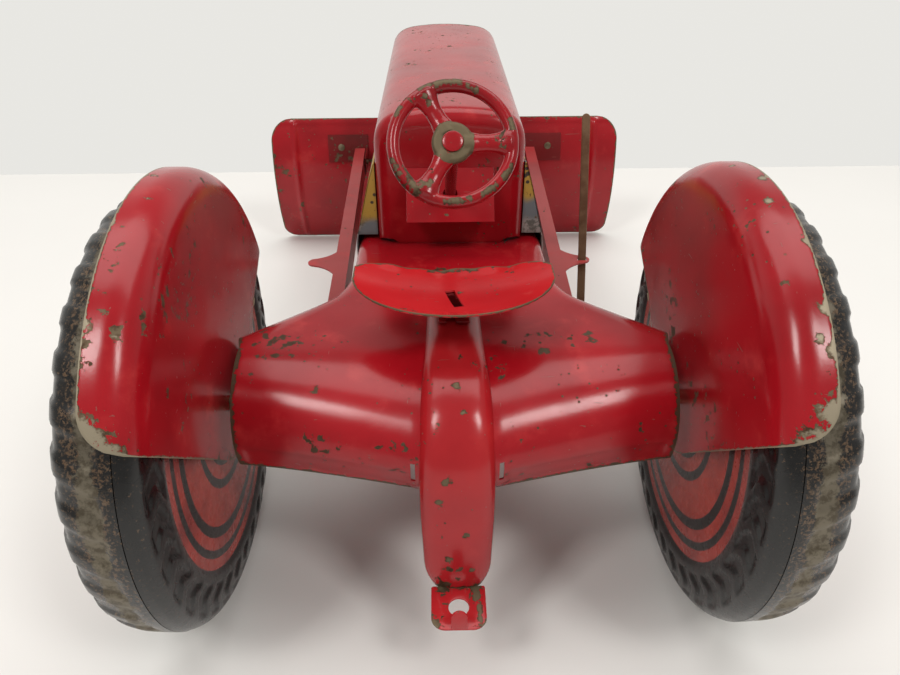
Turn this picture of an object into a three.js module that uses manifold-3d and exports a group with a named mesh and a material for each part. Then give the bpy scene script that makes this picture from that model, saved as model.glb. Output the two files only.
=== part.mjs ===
// A pressed-steel toy tractor with a lever-lifted dozer blade, as an assembly of its separate pressings.
// Millimetres. +X is the driver's right, +Y is forwards, +Z is up. The group's origin is on the floor,
// midway between the back of the rear tyres and the front of the blade.

import * as THREE from 'three';
import { mergeVertices } from 'three/addons/utils/BufferGeometryUtils.js';
import Module from 'manifold-3d';

const wasm = await Module();
wasm.setup();

// Stock and clearances
const SHEET = 0.8; // pressed sheet steel
const THIN = 0.6; // printed tinplate
const GAP = 0.3; // between touching pieces
const RIVET_HOLE = 1.9; // radius of every rivet hole
const COLUMN_HOLE = 3.2; // radius of the steering column's holes
const RUNNING = 0.15; // radial clearance of a wheel on its axle

// Rear wheels, fixed on a plain axle across the housing
const TYRE_RADIUS = 83;
const AXLE_Z = TYRE_RADIUS;
const AXLE_RADIUS = 3;
const AXLE_HALF = 121;
const WHEEL_SEGMENTS = 36;

// Axle housing and deck, one pressing open underneath
const HOUSING_HALF = 87;
const HOUSING_RADIUS = 25;
const HOUSING_BOTTOM = 72;
const FRONT_SKIRT = 6; // the housing's front wall reaches this much lower
const DECK_Z = AXLE_Z + HOUSING_RADIUS;
const DECK_HALF = 44;
const DECK_EDGE = 6;
const DECK_FRONT = 284;
const DECK_BOTTOM = 80;

// Hood
const HOOD_HALF = 34;
const HOOD_TOP = 170.5;
const HOOD_REAR = 88;
const HOOD_FRONT = 284;
const HOOD_EDGE = 7;

// Fenders
const FENDER_RADIUS = 90;
const FENDER_INNER = HOUSING_HALF + GAP;
const FENDER_OUTER = 103;
const FENDER_CORNER = 11;

// Blade and its lift frame
const BLADE_HALF = 131;
const BLADE_TOP = 98;
const BLADE_BOTTOM = 0.5;
const BLADE_BACK = 312;
const BLADE_ARC = 97;
const BLADE_SHEET = 0.9;
const BLADE_MIDDLE = 51.25; // height where the blade's back is furthest to the rear
const BLADE_RIVET_X = 78;
const BLADE_RIVET_Z = 78;
const PIVOT_Y = 58;
const PIVOT_Z = 72.5;
const PIVOT_RADIUS = 2;
const ARM_TOP = 79;
const ARM_WEB = 15;
const ARM_FLANGE = 7.4;
const ARM_SPLAY = 0.031; // sideways run of each arm per millimetre forwards
const ARM_OUTER_AT_PIVOT = 59.5;
const LEVER_X = 72;

// Steering
const COLUMN_LEAN = THREE.MathUtils.degToRad(37.3);
const STEERING_Y = 28;
const STEERING_Z = 176;
const STEERING_RADIUS = 21.3;
const STEERING_SECTION = 2.5;

// Front wheels, close together under the hood
const FRONT_RADIUS = 38;
const FRONT_AXLE_Y = 250;
const FRONT_AXLE_RADIUS = 2.2;

const material = (color, roughness, metalness) =>
  new THREE.MeshStandardMaterial({ color, roughness, metalness });
const redPaint = () => material(0x9c1f25, 0.32, 0.1);
const bareSteel = () => material(0x6e6553, 0.5, 0.8);
const tyrePaint = () => material(0x23211f, 0.55, 0.2);
const printedPanel = () => material(0xb9a24a, 0.45, 0.1);

// ---------------------------------------------------------------------------------------------
// Solids

// Turns a closed geometry into a solid with its faces pointing out.
function toSolid(geometry) {
  const plain = geometry.clone();
  plain.deleteAttribute('normal');
  plain.deleteAttribute('uv');
  const merged = mergeVertices(plain, 1e-4);
  const corners = [];
  for (let i = 0; i < merged.index.count; i += 3) {
    const [a, b, c] = [0, 1, 2].map((k) => merged.index.getX(i + k));
    if (a !== b && b !== c && c !== a) corners.push([a, b, c]);
  }
  const build = (triangles) => new wasm.Manifold(new wasm.Mesh({
    numProp: 3,
    vertProperties: new Float32Array(merged.attributes.position.array),
    triVerts: new Uint32Array(triangles.flat()),
  }));
  const solid = build(corners);
  return solid.volume() > 0 ? solid : build(corners.map(([a, b, c]) => [a, c, b]));
}

const join = (first, ...others) => others.reduce((sum, other) => sum.add(other), first);
const cut = (first, ...others) => others.reduce((sum, other) => sum.subtract(other), first);

function toGeometry(solid) {
  const { vertProperties, triVerts } = solid.getMesh();
  const geometry = new THREE.BufferGeometry();
  geometry.setAttribute('position', new THREE.BufferAttribute(new Float32Array(vertProperties), 3));
  geometry.setIndex([...triVerts]);
  geometry.computeVertexNormals();
  return geometry;
}

function piece(name, solid, look) {
  const mesh = new THREE.Mesh(toGeometry(solid), look);
  mesh.name = name;
  return mesh;
}

// The axes that an outline's own x, y and depth run along, for an extrusion along each world axis.
const ALONG_X = new THREE.Matrix4().makeBasis(
  new THREE.Vector3(0, 1, 0), new THREE.Vector3(0, 0, 1), new THREE.Vector3(1, 0, 0));
const ALONG_Y = new THREE.Matrix4().makeBasis(
  new THREE.Vector3(1, 0, 0), new THREE.Vector3(0, 0, 1), new THREE.Vector3(0, -1, 0));

const outline = (points) => new THREE.Shape(points.map(([x, y]) => new THREE.Vector2(x, y)));

const extrude = (shape, depth, curveSegments = 6) =>
  new THREE.ExtrudeGeometry(shape, { depth, curveSegments, bevelEnabled: false });

// A (Y, Z) outline from x0 to x1.
const extrudeX = (shape, x0, x1, curveSegments) =>
  toSolid(extrude(shape, x1 - x0, curveSegments).applyMatrix4(ALONG_X).translate(x0, 0, 0));

// An (X, Z) outline from y0 to y1.
const extrudeY = (shape, y0, y1, curveSegments) =>
  toSolid(extrude(shape, y1 - y0, curveSegments).applyMatrix4(ALONG_Y).translate(0, y1, 0));

// An (X, Y) outline from z0 to z1.
const extrudeZ = (shape, z0, z1, curveSegments) =>
  toSolid(extrude(shape, z1 - z0, curveSegments).translate(0, 0, z0));

function block(x0, x1, y0, y1, z0, z1) {
  const box = new THREE.BoxGeometry(x1 - x0, y1 - y0, z1 - z0);
  return toSolid(box.translate((x0 + x1) / 2, (y0 + y1) / 2, (z0 + z1) / 2));
}

// A turned piece about the X axis, from [x, radius] pairs that close on themselves.
function turned(profile, segments) {
  const points = [...profile, profile[0]].map(([x, r]) => new THREE.Vector2(r, x));
  return toSolid(new THREE.LatheGeometry(points, segments).rotateZ(-Math.PI / 2));
}

// A round rod along X.
const rodX = (x0, x1, radius, y, z, segments = 20) =>
  turned([[x0, 0], [x0, radius], [x1, radius], [x1, 0]], segments).translate(0, y, z);

// A solid through closed rings of equal count, with flat ends.
function loft(rings) {
  const count = rings[0].length;
  const points = rings.flat();
  const index = [];
  for (let r = 0; r + 1 < rings.length; r++) {
    for (let k = 0; k < count; k++) {
      const a = r * count + k;
      const b = r * count + (k + 1) % count;
      index.push(a, b, b + count, a, b + count, a + count);
    }
  }
  for (const [start, reversed] of [[0, true], [(rings.length - 1) * count, false]]) {
    const ring = points.slice(start, start + count);
    const centre = ring.reduce((sum, p) => sum.add(p), new THREE.Vector3()).divideScalar(count);
    points.push(centre);
    for (let k = 0; k < count; k++) {
      const pair = [start + k, start + (k + 1) % count];
      if (reversed) pair.reverse();
      index.push(...pair, points.length - 1);
    }
  }
  const geometry = new THREE.BufferGeometry().setFromPoints(points);
  geometry.setIndex(index);
  return toSolid(geometry);
}

// A pressed sheet: a grid of points on one face, with the thickness added along the grid's normals.
function pressing(columns, rows, pointAt, thickness) {
  const at = (i, j) => pointAt(i / columns, j / rows);
  const stride = rows + 1;
  const face = [];
  const back = [];
  for (let i = 0; i <= columns; i++) {
    for (let j = 0; j <= rows; j++) {
      const along = at(Math.min(i + 1, columns), j).sub(at(Math.max(i - 1, 0), j));
      const across = at(i, Math.min(j + 1, rows)).sub(at(i, Math.max(j - 1, 0)));
      const normal = along.cross(across).normalize();
      face.push(at(i, j));
      back.push(at(i, j).addScaledVector(normal, thickness));
    }
  }
  const index = [];
  const quad = (a, b, c, d) => index.push(a, b, c, a, c, d);
  const under = face.length;
  for (let i = 0; i < columns; i++) {
    for (let j = 0; j < rows; j++) {
      const a = i * stride + j;
      quad(a, a + 1, a + stride + 1, a + stride);
      quad(under + a, under + a + stride, under + a + stride + 1, under + a + 1);
    }
    const [start, end] = [i * stride, i * stride + rows];
    quad(start, start + stride, under + start + stride, under + start);
    quad(end + stride, end, under + end, under + end + stride);
  }
  for (let j = 0; j < rows; j++) {
    const last = columns * stride + j;
    quad(j + 1, j, under + j, under + j + 1);
    quad(last, last + 1, under + last + 1, under + last);
  }
  const geometry = new THREE.BufferGeometry().setFromPoints([...face, ...back]);
  geometry.setIndex(index);
  return toSolid(geometry);
}

const mirrored = (solid) => solid.mirror([1, 0, 0]);

// Both sides of a piece drawn on the right: [side name, solid].
const bothSides = (solid) => [['right', solid], ['left', mirrored(solid)]];

// ---------------------------------------------------------------------------------------------
// Axle housing and deck

// How far the housing reaches behind the axle at a distance x from the middle.
function rearReach(x) {
  const inward = 1 - Math.min(Math.max(x, 14), HOUSING_HALF) / HOUSING_HALF;
  return HOUSING_RADIUS + 20.5 * inward ** 1.3;
}

// The housing's front edge sweeps forwards into the deck: 0 at the trumpet end, 1 at the deck's side.
const sweep = (x) => Math.min((HOUSING_HALF - x) / (HOUSING_HALF - DECK_HALF), 1);
const frontReach = (x) => HOUSING_RADIUS + 21 * sweep(x) ** 1.1 + 17 * sweep(x) ** 12;
const frontEdge = (x) => HOUSING_RADIUS - (HOUSING_RADIUS - DECK_EDGE) * sweep(x) ** 0.8;

// One cross-section of the housing, grown or shrunk by an offset.
function housingRing(x, shapeX, offset, bottom) {
  const rear = rearReach(shapeX) + offset;
  const rise = HOUSING_RADIUS + offset;
  const edge = Math.max(frontEdge(shapeX) + offset, 1);
  const front = frontReach(shapeX) + offset;
  const ring = [];
  const low = Math.asin((HOUSING_BOTTOM - AXLE_Z) / HOUSING_RADIUS);
  const skirt = -rear * Math.cos(low);
  ring.push(new THREE.Vector3(x, skirt, bottom));
  for (let k = 0; k <= 7; k++) {
    const angle = THREE.MathUtils.lerp(low, Math.PI / 2, k / 7);
    ring.push(new THREE.Vector3(x, -rear * Math.cos(angle), AXLE_Z + rise * Math.sin(angle)));
  }
  for (let k = 0; k <= 3; k++) {
    const angle = (1 - k / 3) * Math.PI / 2;
    const y = front - edge + edge * Math.cos(angle);
    ring.push(new THREE.Vector3(x, y, AXLE_Z + rise - edge + edge * Math.sin(angle)));
  }
  ring.push(new THREE.Vector3(x, front, bottom - FRONT_SKIRT));
  return ring;
}

// The housing as a full solid. Its sections are closer together where the front edge sweeps forwards.
function housingSolid(offset, overrun, bottom) {
  const stations = [HOUSING_HALF, 79, 70, 62, 55.5, 51, 47.5, DECK_HALF, 28, 14];
  const sections = [...stations, 0, ...stations.map((x) => -x).reverse()];
  const rings = sections.map((x) => housingRing(
    Math.abs(x) === HOUSING_HALF ? x + Math.sign(x) * overrun : x, Math.abs(x), offset, bottom));
  return loft(rings);
}

function deckSolid(offset, bottom, front) {
  const half = DECK_HALF + offset;
  const top = DECK_Z + offset;
  const edge = DECK_EDGE + offset;
  const section = new THREE.Shape();
  section.moveTo(-half, bottom);
  section.lineTo(half, bottom);
  section.lineTo(half, top - edge);
  section.absarc(half - edge, top - edge, edge, 0, Math.PI / 2);
  section.absarc(-half + edge, top - edge, edge, Math.PI / 2, Math.PI);
  section.closePath();
  return extrudeY(section, 0, front, 5);
}

function makeChassis() {
  const outside = join(housingSolid(0, 0, HOUSING_BOTTOM), deckSolid(0, DECK_BOTTOM, DECK_FRONT));
  const inside = join(
    housingSolid(-SHEET, 1, HOUSING_BOTTOM - 5),
    deckSolid(-SHEET, DECK_BOTTOM - 15, DECK_FRONT + 1),
  );
  const holes = [rodX(-70, 70, PIVOT_RADIUS + GAP, PIVOT_Y, PIVOT_Z)];
  for (const side of [-1, 1]) {
    holes.push(block(side * 15.2 - 1.1, side * 15.2 + 1.1, -60, -30, 79, 87));
    for (const y of [HOOD_REAR + 30, HOOD_FRONT - 30]) {
      const x = side * (HOOD_HALF - SHEET / 2);
      holes.push(block(x - 0.7, x + 0.7, y - 4, y + 4, DECK_Z - 3, DECK_Z + 3));
    }
  }
  const bolsterHole = new THREE.Shape().absarc(0, FRONT_AXLE_Y, RIVET_HOLE, 0, 2 * Math.PI);
  holes.push(extrudeZ(bolsterHole, DECK_Z - 3, DECK_Z + 3));
  return cut(outside, inside, ...holes);
}

// ---------------------------------------------------------------------------------------------
// Drawbar: a raised channel over the housing that runs down to the hitch plate

const HITCH_Z = 38;
const HITCH_HOLE_Y = -62;
const HITCH_HOLE_RADIUS = 3.65;
const HITCH_REAR = -71;

// The crown line's [y, z] and the half-width there.
const DRAWBAR_LINE = [
  [22, 112.2, 10.8], [0, 112.4, 11.1], [-14, 111.3, 11.9], [-25, 107.8, 12.6], [-35, 101.5, 13.1],
  [-43, 92, 13.4], [-47, 81, 13.4], [-49.6, 68, 13.2], [-52, 54, 12.6], [-54, HITCH_Z, 11.8],
];

// The channel as a full solid between its crown line and a depth below it.
function drawbarSolid(inset, depth, overrun) {
  const line = DRAWBAR_LINE.map(([y, z]) => new THREE.Vector3(0, y, z));
  const rings = DRAWBAR_LINE.map(([, , width], i) => {
    const along = line[Math.min(i + 1, line.length - 1)].clone().sub(line[Math.max(i - 1, 0)]).normalize();
    const out = new THREE.Vector3(0, -along.z, along.y).negate();
    const half = width - inset;
    const end = i === 0 ? -overrun : i === line.length - 1 ? overrun : 0;
    const at = (x, height) => line[i].clone().addScaledVector(out, height - inset)
      .addScaledVector(along, end).add(new THREE.Vector3(x, 0, 0));
    const arch = 6.5 - inset;
    const ring = [at(half, -depth)];
    for (let k = 0; k <= 8; k++) {
      const angle = k * Math.PI / 8;
      const x = half * Math.sign(Math.cos(angle)) * Math.abs(Math.cos(angle)) ** 0.7;
      ring.push(at(x, arch * (Math.sin(angle) ** 0.8 - 1)));
    }
    ring.push(at(-half, -depth));
    return ring;
  });
  return loft(rings);
}

function makeDrawbar() {
  const channel = cut(
    drawbarSolid(0, 12, 0),
    drawbarSolid(SHEET, 20, 3),
    housingSolid(GAP, 5, HOUSING_BOTTOM),
  );
  const half = 9.8;
  const corner = 5;
  const plate = new THREE.Shape();
  plate.moveTo(-half, HITCH_REAR + corner);
  plate.absarc(-half + corner, HITCH_REAR + corner, corner, Math.PI, 1.5 * Math.PI);
  plate.absarc(half - corner, HITCH_REAR + corner, corner, 1.5 * Math.PI, 2 * Math.PI);
  plate.lineTo(half, -53.4);
  plate.lineTo(-half, -53.4);
  plate.closePath();
  plate.holes.push(new THREE.Path().absarc(0, HITCH_HOLE_Y, HITCH_HOLE_RADIUS, 0, 2 * Math.PI));
  const tongue = new THREE.Shape();
  tongue.moveTo(-2.85, HITCH_Z);
  tongue.lineTo(2.85, HITCH_Z);
  tongue.lineTo(2.85, HITCH_Z + 3.5);
  tongue.absarc(0, HITCH_Z + 3.5, 2.85, 0, Math.PI);
  tongue.closePath();
  return join(
    channel,
    extrudeZ(plate, HITCH_Z - SHEET / 2, HITCH_Z + SHEET / 2, 8),
    extrudeY(tongue, HITCH_REAR, HITCH_REAR + SHEET, 5),
  );
}

// ---------------------------------------------------------------------------------------------
// Seat

const SEAT_HALF = 37.5;
const SEAT_FRONT = 28;
const SEAT_REAR = -17;
const SEAT_Z = 125;
const SEAT_RIM = 6.5;

// The pan is a shallow dish with a round back and a nearly straight front edge.
function seatPoint(u, v) {
  const x = (2 * u - 1) * (SEAT_HALF - 1.2);
  const centreY = 13;
  const across = x / SEAT_HALF;
  const back = centreY - (centreY - SEAT_REAR) * Math.sqrt(1 - across * across);
  const front = SEAT_FRONT - 9 * Math.abs(across) ** 8;
  const y = THREE.MathUtils.lerp(back, front, v);
  const behind = Math.min((y - centreY) / (centreY - SEAT_REAR), 0);
  const reach = Math.hypot(across, behind);
  return new THREE.Vector3(x, y, SEAT_Z + SEAT_RIM * reach ** 2.4);
}

function makeSeatPan() {
  const slot = new THREE.BoxGeometry(3.5, 13, 20).rotateZ(THREE.MathUtils.degToRad(18));
  return cut(pressing(16, 6, seatPoint, SHEET), toSolid(slot.translate(0, 4, SEAT_Z)));
}

// A bent strip that stands on the drawbar's crown and carries the pan.
function makeSeatBracket() {
  const foot = 113.3;
  const head = SEAT_Z - GAP - 0.2;
  const [rear, front] = [8, 20];
  const strip = outline([
    [rear, foot], [front, foot], [front, head], [rear, head], [rear, head - SHEET],
    [front - SHEET, head - SHEET], [front - SHEET, foot + SHEET], [rear, foot + SHEET],
  ]);
  return extrudeX(strip, -6, 6);
}

// ---------------------------------------------------------------------------------------------
// Hood, grille, dash and the printed engine sides

// The hood's section: upright sides, rounded shoulders and a slightly arched top.
function hoodOutline(inset, bottom) {
  const half = HOOD_HALF - inset;
  const top = HOOD_TOP - inset;
  const shape = new THREE.Shape();
  shape.moveTo(-half, bottom);
  shape.lineTo(half, bottom);
  shape.lineTo(half, 153);
  shape.bezierCurveTo(half, 163, half - 5, top - 2.8, half - 14, top - 1.4);
  shape.quadraticCurveTo(0, top + 1.4, -half + 14, top - 1.4);
  shape.bezierCurveTo(-half + 5, top - 2.8, -half, 163, -half, 153);
  shape.closePath();
  return shape;
}

// The hood's full solid, with its rear edges rounded.
function hoodSolid(inset, rear, front) {
  const edge = HOOD_EDGE - inset;
  const geometry = new THREE.ExtrudeGeometry(hoodOutline(inset, DECK_Z - 12), {
    depth: front - rear - 2 * edge,
    curveSegments: 5,
    bevelThickness: edge,
    bevelSize: edge,
    bevelOffset: -edge,
    bevelSegments: 4,
  });
  return toSolid(geometry.applyMatrix4(ALONG_Y).translate(0, front - edge, 0));
}

// The way through the dash face and the hood's rear wall for the steering column.
const columnHole = (radius) => onColumn(
  turned([[-95, 0], [-95, radius], [-20, radius], [-20, 0]], 16));

function makeHood() {
  const shell = cut(
    hoodSolid(0, HOOD_REAR, HOOD_FRONT + 20),
    hoodSolid(SHEET, HOOD_REAR + SHEET, HOOD_FRONT + 30),
    block(-60, 60, 60, 320, DECK_Z - 40, DECK_Z + GAP),
    block(-60, 60, HOOD_FRONT, 360, 60, 200),
    columnHole(COLUMN_HOLE),
  );
  const tabs = [];
  for (const side of [-1, 1]) {
    for (const y of [HOOD_REAR + 30, HOOD_FRONT - 30]) {
      const x = side * (HOOD_HALF - SHEET / 2);
      tabs.push(block(x - SHEET / 2, x + SHEET / 2, y - 3, y + 3, DECK_Z - 4, DECK_Z + 2));
    }
  }
  return join(shell, ...tabs);
}

// The grille closes the front of the hood and is pierced by a ladder of slots.
function makeGrille() {
  const rear = HOOD_FRONT - 3;
  const plate = extrudeY(hoodOutline(SHEET + GAP, DECK_Z + 2 * GAP), rear, rear + SHEET, 5);
  const slots = [];
  for (let k = 0; k < 6; k++) {
    const z = 117 + 7.5 * k;
    slots.push(block(-22, 22, HOOD_FRONT - 10, HOOD_FRONT + 10, z, z + 4.4));
  }
  return cut(plate, ...slots);
}

// The dash: a sloped face between two cheeks, open underneath.
function makeDash() {
  const [half, tip, bottom] = [19.5, 73, 125.5];
  const rear = HOOD_REAR - GAP;
  const outside = outline([[tip, bottom], [rear, bottom], [rear, bottom + 19.7]]);
  const inside = outline([
    [tip + 1.3, bottom - 1], [rear + 5, bottom - 1], [rear + 5, bottom + 23.7], [tip + 1.3, bottom + 0.1],
  ]);
  return cut(
    extrudeX(outside, -half, half),
    extrudeX(inside, -half + SHEET, half - SHEET),
    columnHole(COLUMN_HOLE),
  );
}

// A printed engine side: it flares away from the hood and drops beside the deck.
function makeEnginePanel() {
  const inner = DECK_HALF + GAP;
  const band = outline([
    [HOOD_HALF + GAP, 145], [inner, DECK_Z], [inner, 70], [inner + THIN, 70],
    [inner + THIN, DECK_Z + 0.2], [HOOD_HALF + GAP + THIN, 145.2],
  ]);
  return extrudeY(band, HOOD_REAR + 5, HOOD_FRONT - 20);
}

// ---------------------------------------------------------------------------------------------
// Fenders: a flat cheek against the housing's end, turned over into a crown that follows the tyre

function fenderDrum(radius, corner, inner, outer) {
  const profile = [[inner, 0]];
  for (let k = 0; k <= 4; k++) {
    const angle = k * Math.PI / 8;
    profile.push([
      inner + corner - corner * Math.cos(angle),
      radius - corner + corner * Math.sin(angle),
    ]);
  }
  profile.push([outer, radius], [outer, 0]);
  return turned(profile, 45).translate(0, 0, AXLE_Z);
}

// The cheek's side view: a fan that stands on the axle, [y, z].
function fenderFan() {
  const fan = new THREE.Shape();
  fan.moveTo(-96, 143.6);
  fan.lineTo(-15.5, 67);
  fan.absarc(0, AXLE_Z, 22.3, THREE.MathUtils.degToRad(226), THREE.MathUtils.degToRad(318));
  fan.lineTo(44, 90);
  fan.lineTo(53, 98);
  fan.lineTo(102, 125.4);
  fan.lineTo(102, 190);
  fan.lineTo(-96, 190);
  fan.closePath();
  return fan;
}

// Takes the square corner off one end of the crown, leaving it round.
function crownCorner(angle, direction) {
  const radius = 12;
  const corner = new THREE.Shape();
  corner.moveTo(0, 0);
  corner.lineTo(-radius, 0);
  corner.absarc(-radius, direction * radius, radius, -direction * Math.PI / 2, 0, direction < 0);
  corner.closePath();
  const geometry = extrude(corner, 20, 5);
  const along = new THREE.Vector3(0, -Math.sin(angle), Math.cos(angle));
  const out = new THREE.Vector3(0, Math.cos(angle), Math.sin(angle));
  const frame = new THREE.Matrix4().makeBasis(new THREE.Vector3(1, 0, 0), along, out);
  frame.setPosition(FENDER_OUTER + 0.01, 80 * out.y, AXLE_Z + 80 * out.z);
  return toSolid(geometry.applyMatrix4(frame));
}

function makeFender() {
  const drum = cut(
    fenderDrum(FENDER_RADIUS, FENDER_CORNER, FENDER_INNER, FENDER_OUTER),
    fenderDrum(FENDER_RADIUS - SHEET, FENDER_CORNER - SHEET, FENDER_INNER + SHEET, FENDER_OUTER + 5),
  );
  return cut(
    drum.intersect(extrudeX(fenderFan(), 80, 110, 8)),
    crownCorner(THREE.MathUtils.degToRad(150.6), -1),
    crownCorner(THREE.MathUtils.degToRad(20.5), 1),
    rodX(80, 95, AXLE_RADIUS + GAP, 0, AXLE_Z),
  );
}

// ---------------------------------------------------------------------------------------------
// Wheels: two pressed halves that meet at a seam, with a tube between them for the axle

const REAR_DISC = 90.5;
const REAR_SEAM = 97;
const REAR_OUTER_DISC = 115;

// Rear wheel, inner half: sidewall with a sunk disc.
function rearInnerHalf() {
  const bore = AXLE_RADIUS + RUNNING;
  return turned([
    [REAR_DISC, bore], [REAR_DISC, 62.6], [89.3, 67], [89.8, 76], [92.5, 80.8],
    [REAR_SEAM, TYRE_RADIUS], [REAR_SEAM, TYRE_RADIUS - SHEET],
    [92.9, 80], [90.6, 75.6], [90.2, 67], [REAR_DISC + SHEET, 61.6], [REAR_DISC + SHEET, bore],
  ], WHEEL_SEGMENTS);
}

// Rear wheel, outer half: tread, shoulder, sidewall and outer disc.
function rearOuterHalf() {
  const bore = AXLE_RADIUS + RUNNING;
  return turned([
    [REAR_SEAM + GAP, TYRE_RADIUS], [108, 82.5], [114, 80.3], [118, 75.5], [119, 68],
    [REAR_OUTER_DISC + SHEET, 61.5], [REAR_OUTER_DISC + SHEET, bore], [REAR_OUTER_DISC, bore],
    [REAR_OUTER_DISC, 62.2], [118.1, 68.2], [117.2, 75], [113.5, 79.5], [107.8, 81.7],
    [REAR_SEAM + GAP, TYRE_RADIUS - SHEET],
  ], WHEEL_SEGMENTS);
}

// A tube that spaces the two discs and runs on the axle.
const hubTube = (x0, x1, bore, radius) =>
  turned([[x0, bore], [x0, radius], [x1, radius], [x1, bore]], 16);

const rearHub = () =>
  hubTube(REAR_DISC + SHEET + GAP, REAR_OUTER_DISC - GAP, AXLE_RADIUS + RUNNING, 6);

// A pressed cap on an axle's end, open on its inner side.
function axleCap(x, axleRadius, end) {
  const radius = axleRadius * 1.8;
  return turned([
    [x, axleRadius + GAP], [x, radius], [end, radius], [end + 2, 0], [end + GAP, 0],
    [end + GAP, axleRadius + GAP],
  ], 10);
}

const FRONT_SEAM = 22.5;
const FRONT_SIDE = 7.5;

// Front wheel half, drawn for the outer side of the seam; the inner half is its reflection.
function frontHalf() {
  const bore = FRONT_AXLE_RADIUS + RUNNING;
  const r = FRONT_RADIUS;
  return turned([
    [GAP / 2, r], [4.5, r - 1.2], [FRONT_SIDE, r - 7], [5, r - 13], [5, bore],
    [5 - SHEET, bore], [5 - SHEET, r - 12.4], [FRONT_SIDE - SHEET, r - 7], [4, r - 2],
    [GAP / 2, r - SHEET],
  ], 20);
}

function frontWheelParts() {
  const outer = frontHalf().translate(FRONT_SEAM, 0, 0);
  const inner = mirrored(frontHalf()).translate(FRONT_SEAM, 0, 0);
  const reach = 5 - SHEET - GAP;
  const hub = hubTube(FRONT_SEAM - reach, FRONT_SEAM + reach, FRONT_AXLE_RADIUS + RUNNING, 4.5);
  return { inner, outer, hub };
}

// The bolster: an inverted U under the deck that carries the front axle.
function makeBolster() {
  const half = 12.6;
  const top = DECK_Z - SHEET - GAP;
  const legs = cut(
    block(-half, half, FRONT_AXLE_Y - 16, FRONT_AXLE_Y + 16, 32, top),
    block(-half + SHEET, half - SHEET, FRONT_AXLE_Y - 30, FRONT_AXLE_Y + 30, 20, top - SHEET),
  );
  const taper = outline([
    [FRONT_AXLE_Y - 6, 32], [FRONT_AXLE_Y + 6, 32], [FRONT_AXLE_Y + 14, 80], [FRONT_AXLE_Y + 14, 120],
    [FRONT_AXLE_Y - 14, 120], [FRONT_AXLE_Y - 14, 80],
  ]);
  const rivetHole = new THREE.Shape().absarc(0, FRONT_AXLE_Y, RIVET_HOLE, 0, 2 * Math.PI);
  return cut(
    legs.intersect(extrudeX(taper, -20, 20)),
    rodX(-20, 20, FRONT_AXLE_RADIUS + GAP, FRONT_AXLE_Y, FRONT_RADIUS),
    extrudeZ(rivetHole, top - 5, top + 5),
  );
}

// A rivet along X between two faces, with a low dome at each end.
function rivetX(x0, x1, shank, head) {
  return turned([
    [x0 - 1.1, 0], [x0 - GAP, head], [x0 - GAP, shank], [x1 + GAP, shank], [x1 + GAP, head], [x1 + 1.1, 0],
  ], 8);
}

// ---------------------------------------------------------------------------------------------
// Lift frame: two arms, the blade with its brackets, and the hand lever

// The blade is a cylinder's arc, with its hollow side forwards; offset grows it to the rear.
function bladeBand(offset, thickness) {
  const centre = new THREE.Vector2(BLADE_BACK + BLADE_ARC, BLADE_MIDDLE);
  const spread = 0.56;
  const band = new THREE.Shape();
  const outer = BLADE_ARC + offset;
  const inner = outer - thickness;
  band.absarc(centre.x, centre.y, outer, Math.PI - spread, Math.PI + spread);
  band.absarc(centre.x, centre.y, inner, Math.PI + spread, Math.PI - spread, true);
  band.closePath();
  return band;
}

// Lays a solid drawn along +X square to the blade, with x = 0 on the blade's back.
function onBlade(solid, x, z) {
  const slope = Math.asin((z - BLADE_MIDDLE) / BLADE_ARC);
  const y = BLADE_BACK + BLADE_ARC * (1 - Math.cos(slope));
  return solid.rotate([0, 0, -90]).rotate([-THREE.MathUtils.radToDeg(slope), 0, 0]).translate(x, y, z);
}

const bladeRivetHole = (side) =>
  onBlade(rodX(-8, 8, RIVET_HOLE, 0, 0, 12), side * BLADE_RIVET_X, BLADE_RIVET_Z);

function makeBlade() {
  const face = new THREE.Shape();
  const [half, low, high, upper, lower] = [BLADE_HALF, BLADE_BOTTOM, BLADE_TOP, 16, 10];
  face.moveTo(-half + lower, low);
  face.absarc(half - lower, low + lower, lower, 1.5 * Math.PI, 2 * Math.PI);
  face.absarc(half - upper, high - upper, upper, 0, Math.PI / 2);
  face.absarc(-half + upper, high - upper, upper, Math.PI / 2, Math.PI);
  face.absarc(-half + lower, low + lower, lower, Math.PI, 1.5 * Math.PI);
  const band = extrudeX(bladeBand(0, BLADE_SHEET), -half - 5, half + 5, 14);
  const trimmed = band.intersect(extrudeY(face, BLADE_BACK - 10, BLADE_BACK + 40, 6));
  return cut(trimmed, bladeRivetHole(-1), bladeRivetHole(1));
}

// The arm's outer edge at a distance forwards.
const armOuter = (y) => ARM_OUTER_AT_PIVOT + ARM_SPLAY * (y - PIVOT_Y);

const TAB_Y = 126;
const ARM_RIVET_Y = BLADE_BACK - 12;
const ARM_RIVET_Z = ARM_TOP - 7;
const armRivetHole = () => rodX(50, 65, RIVET_HOLE, ARM_RIVET_Y, ARM_RIVET_Z, 12);

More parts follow.
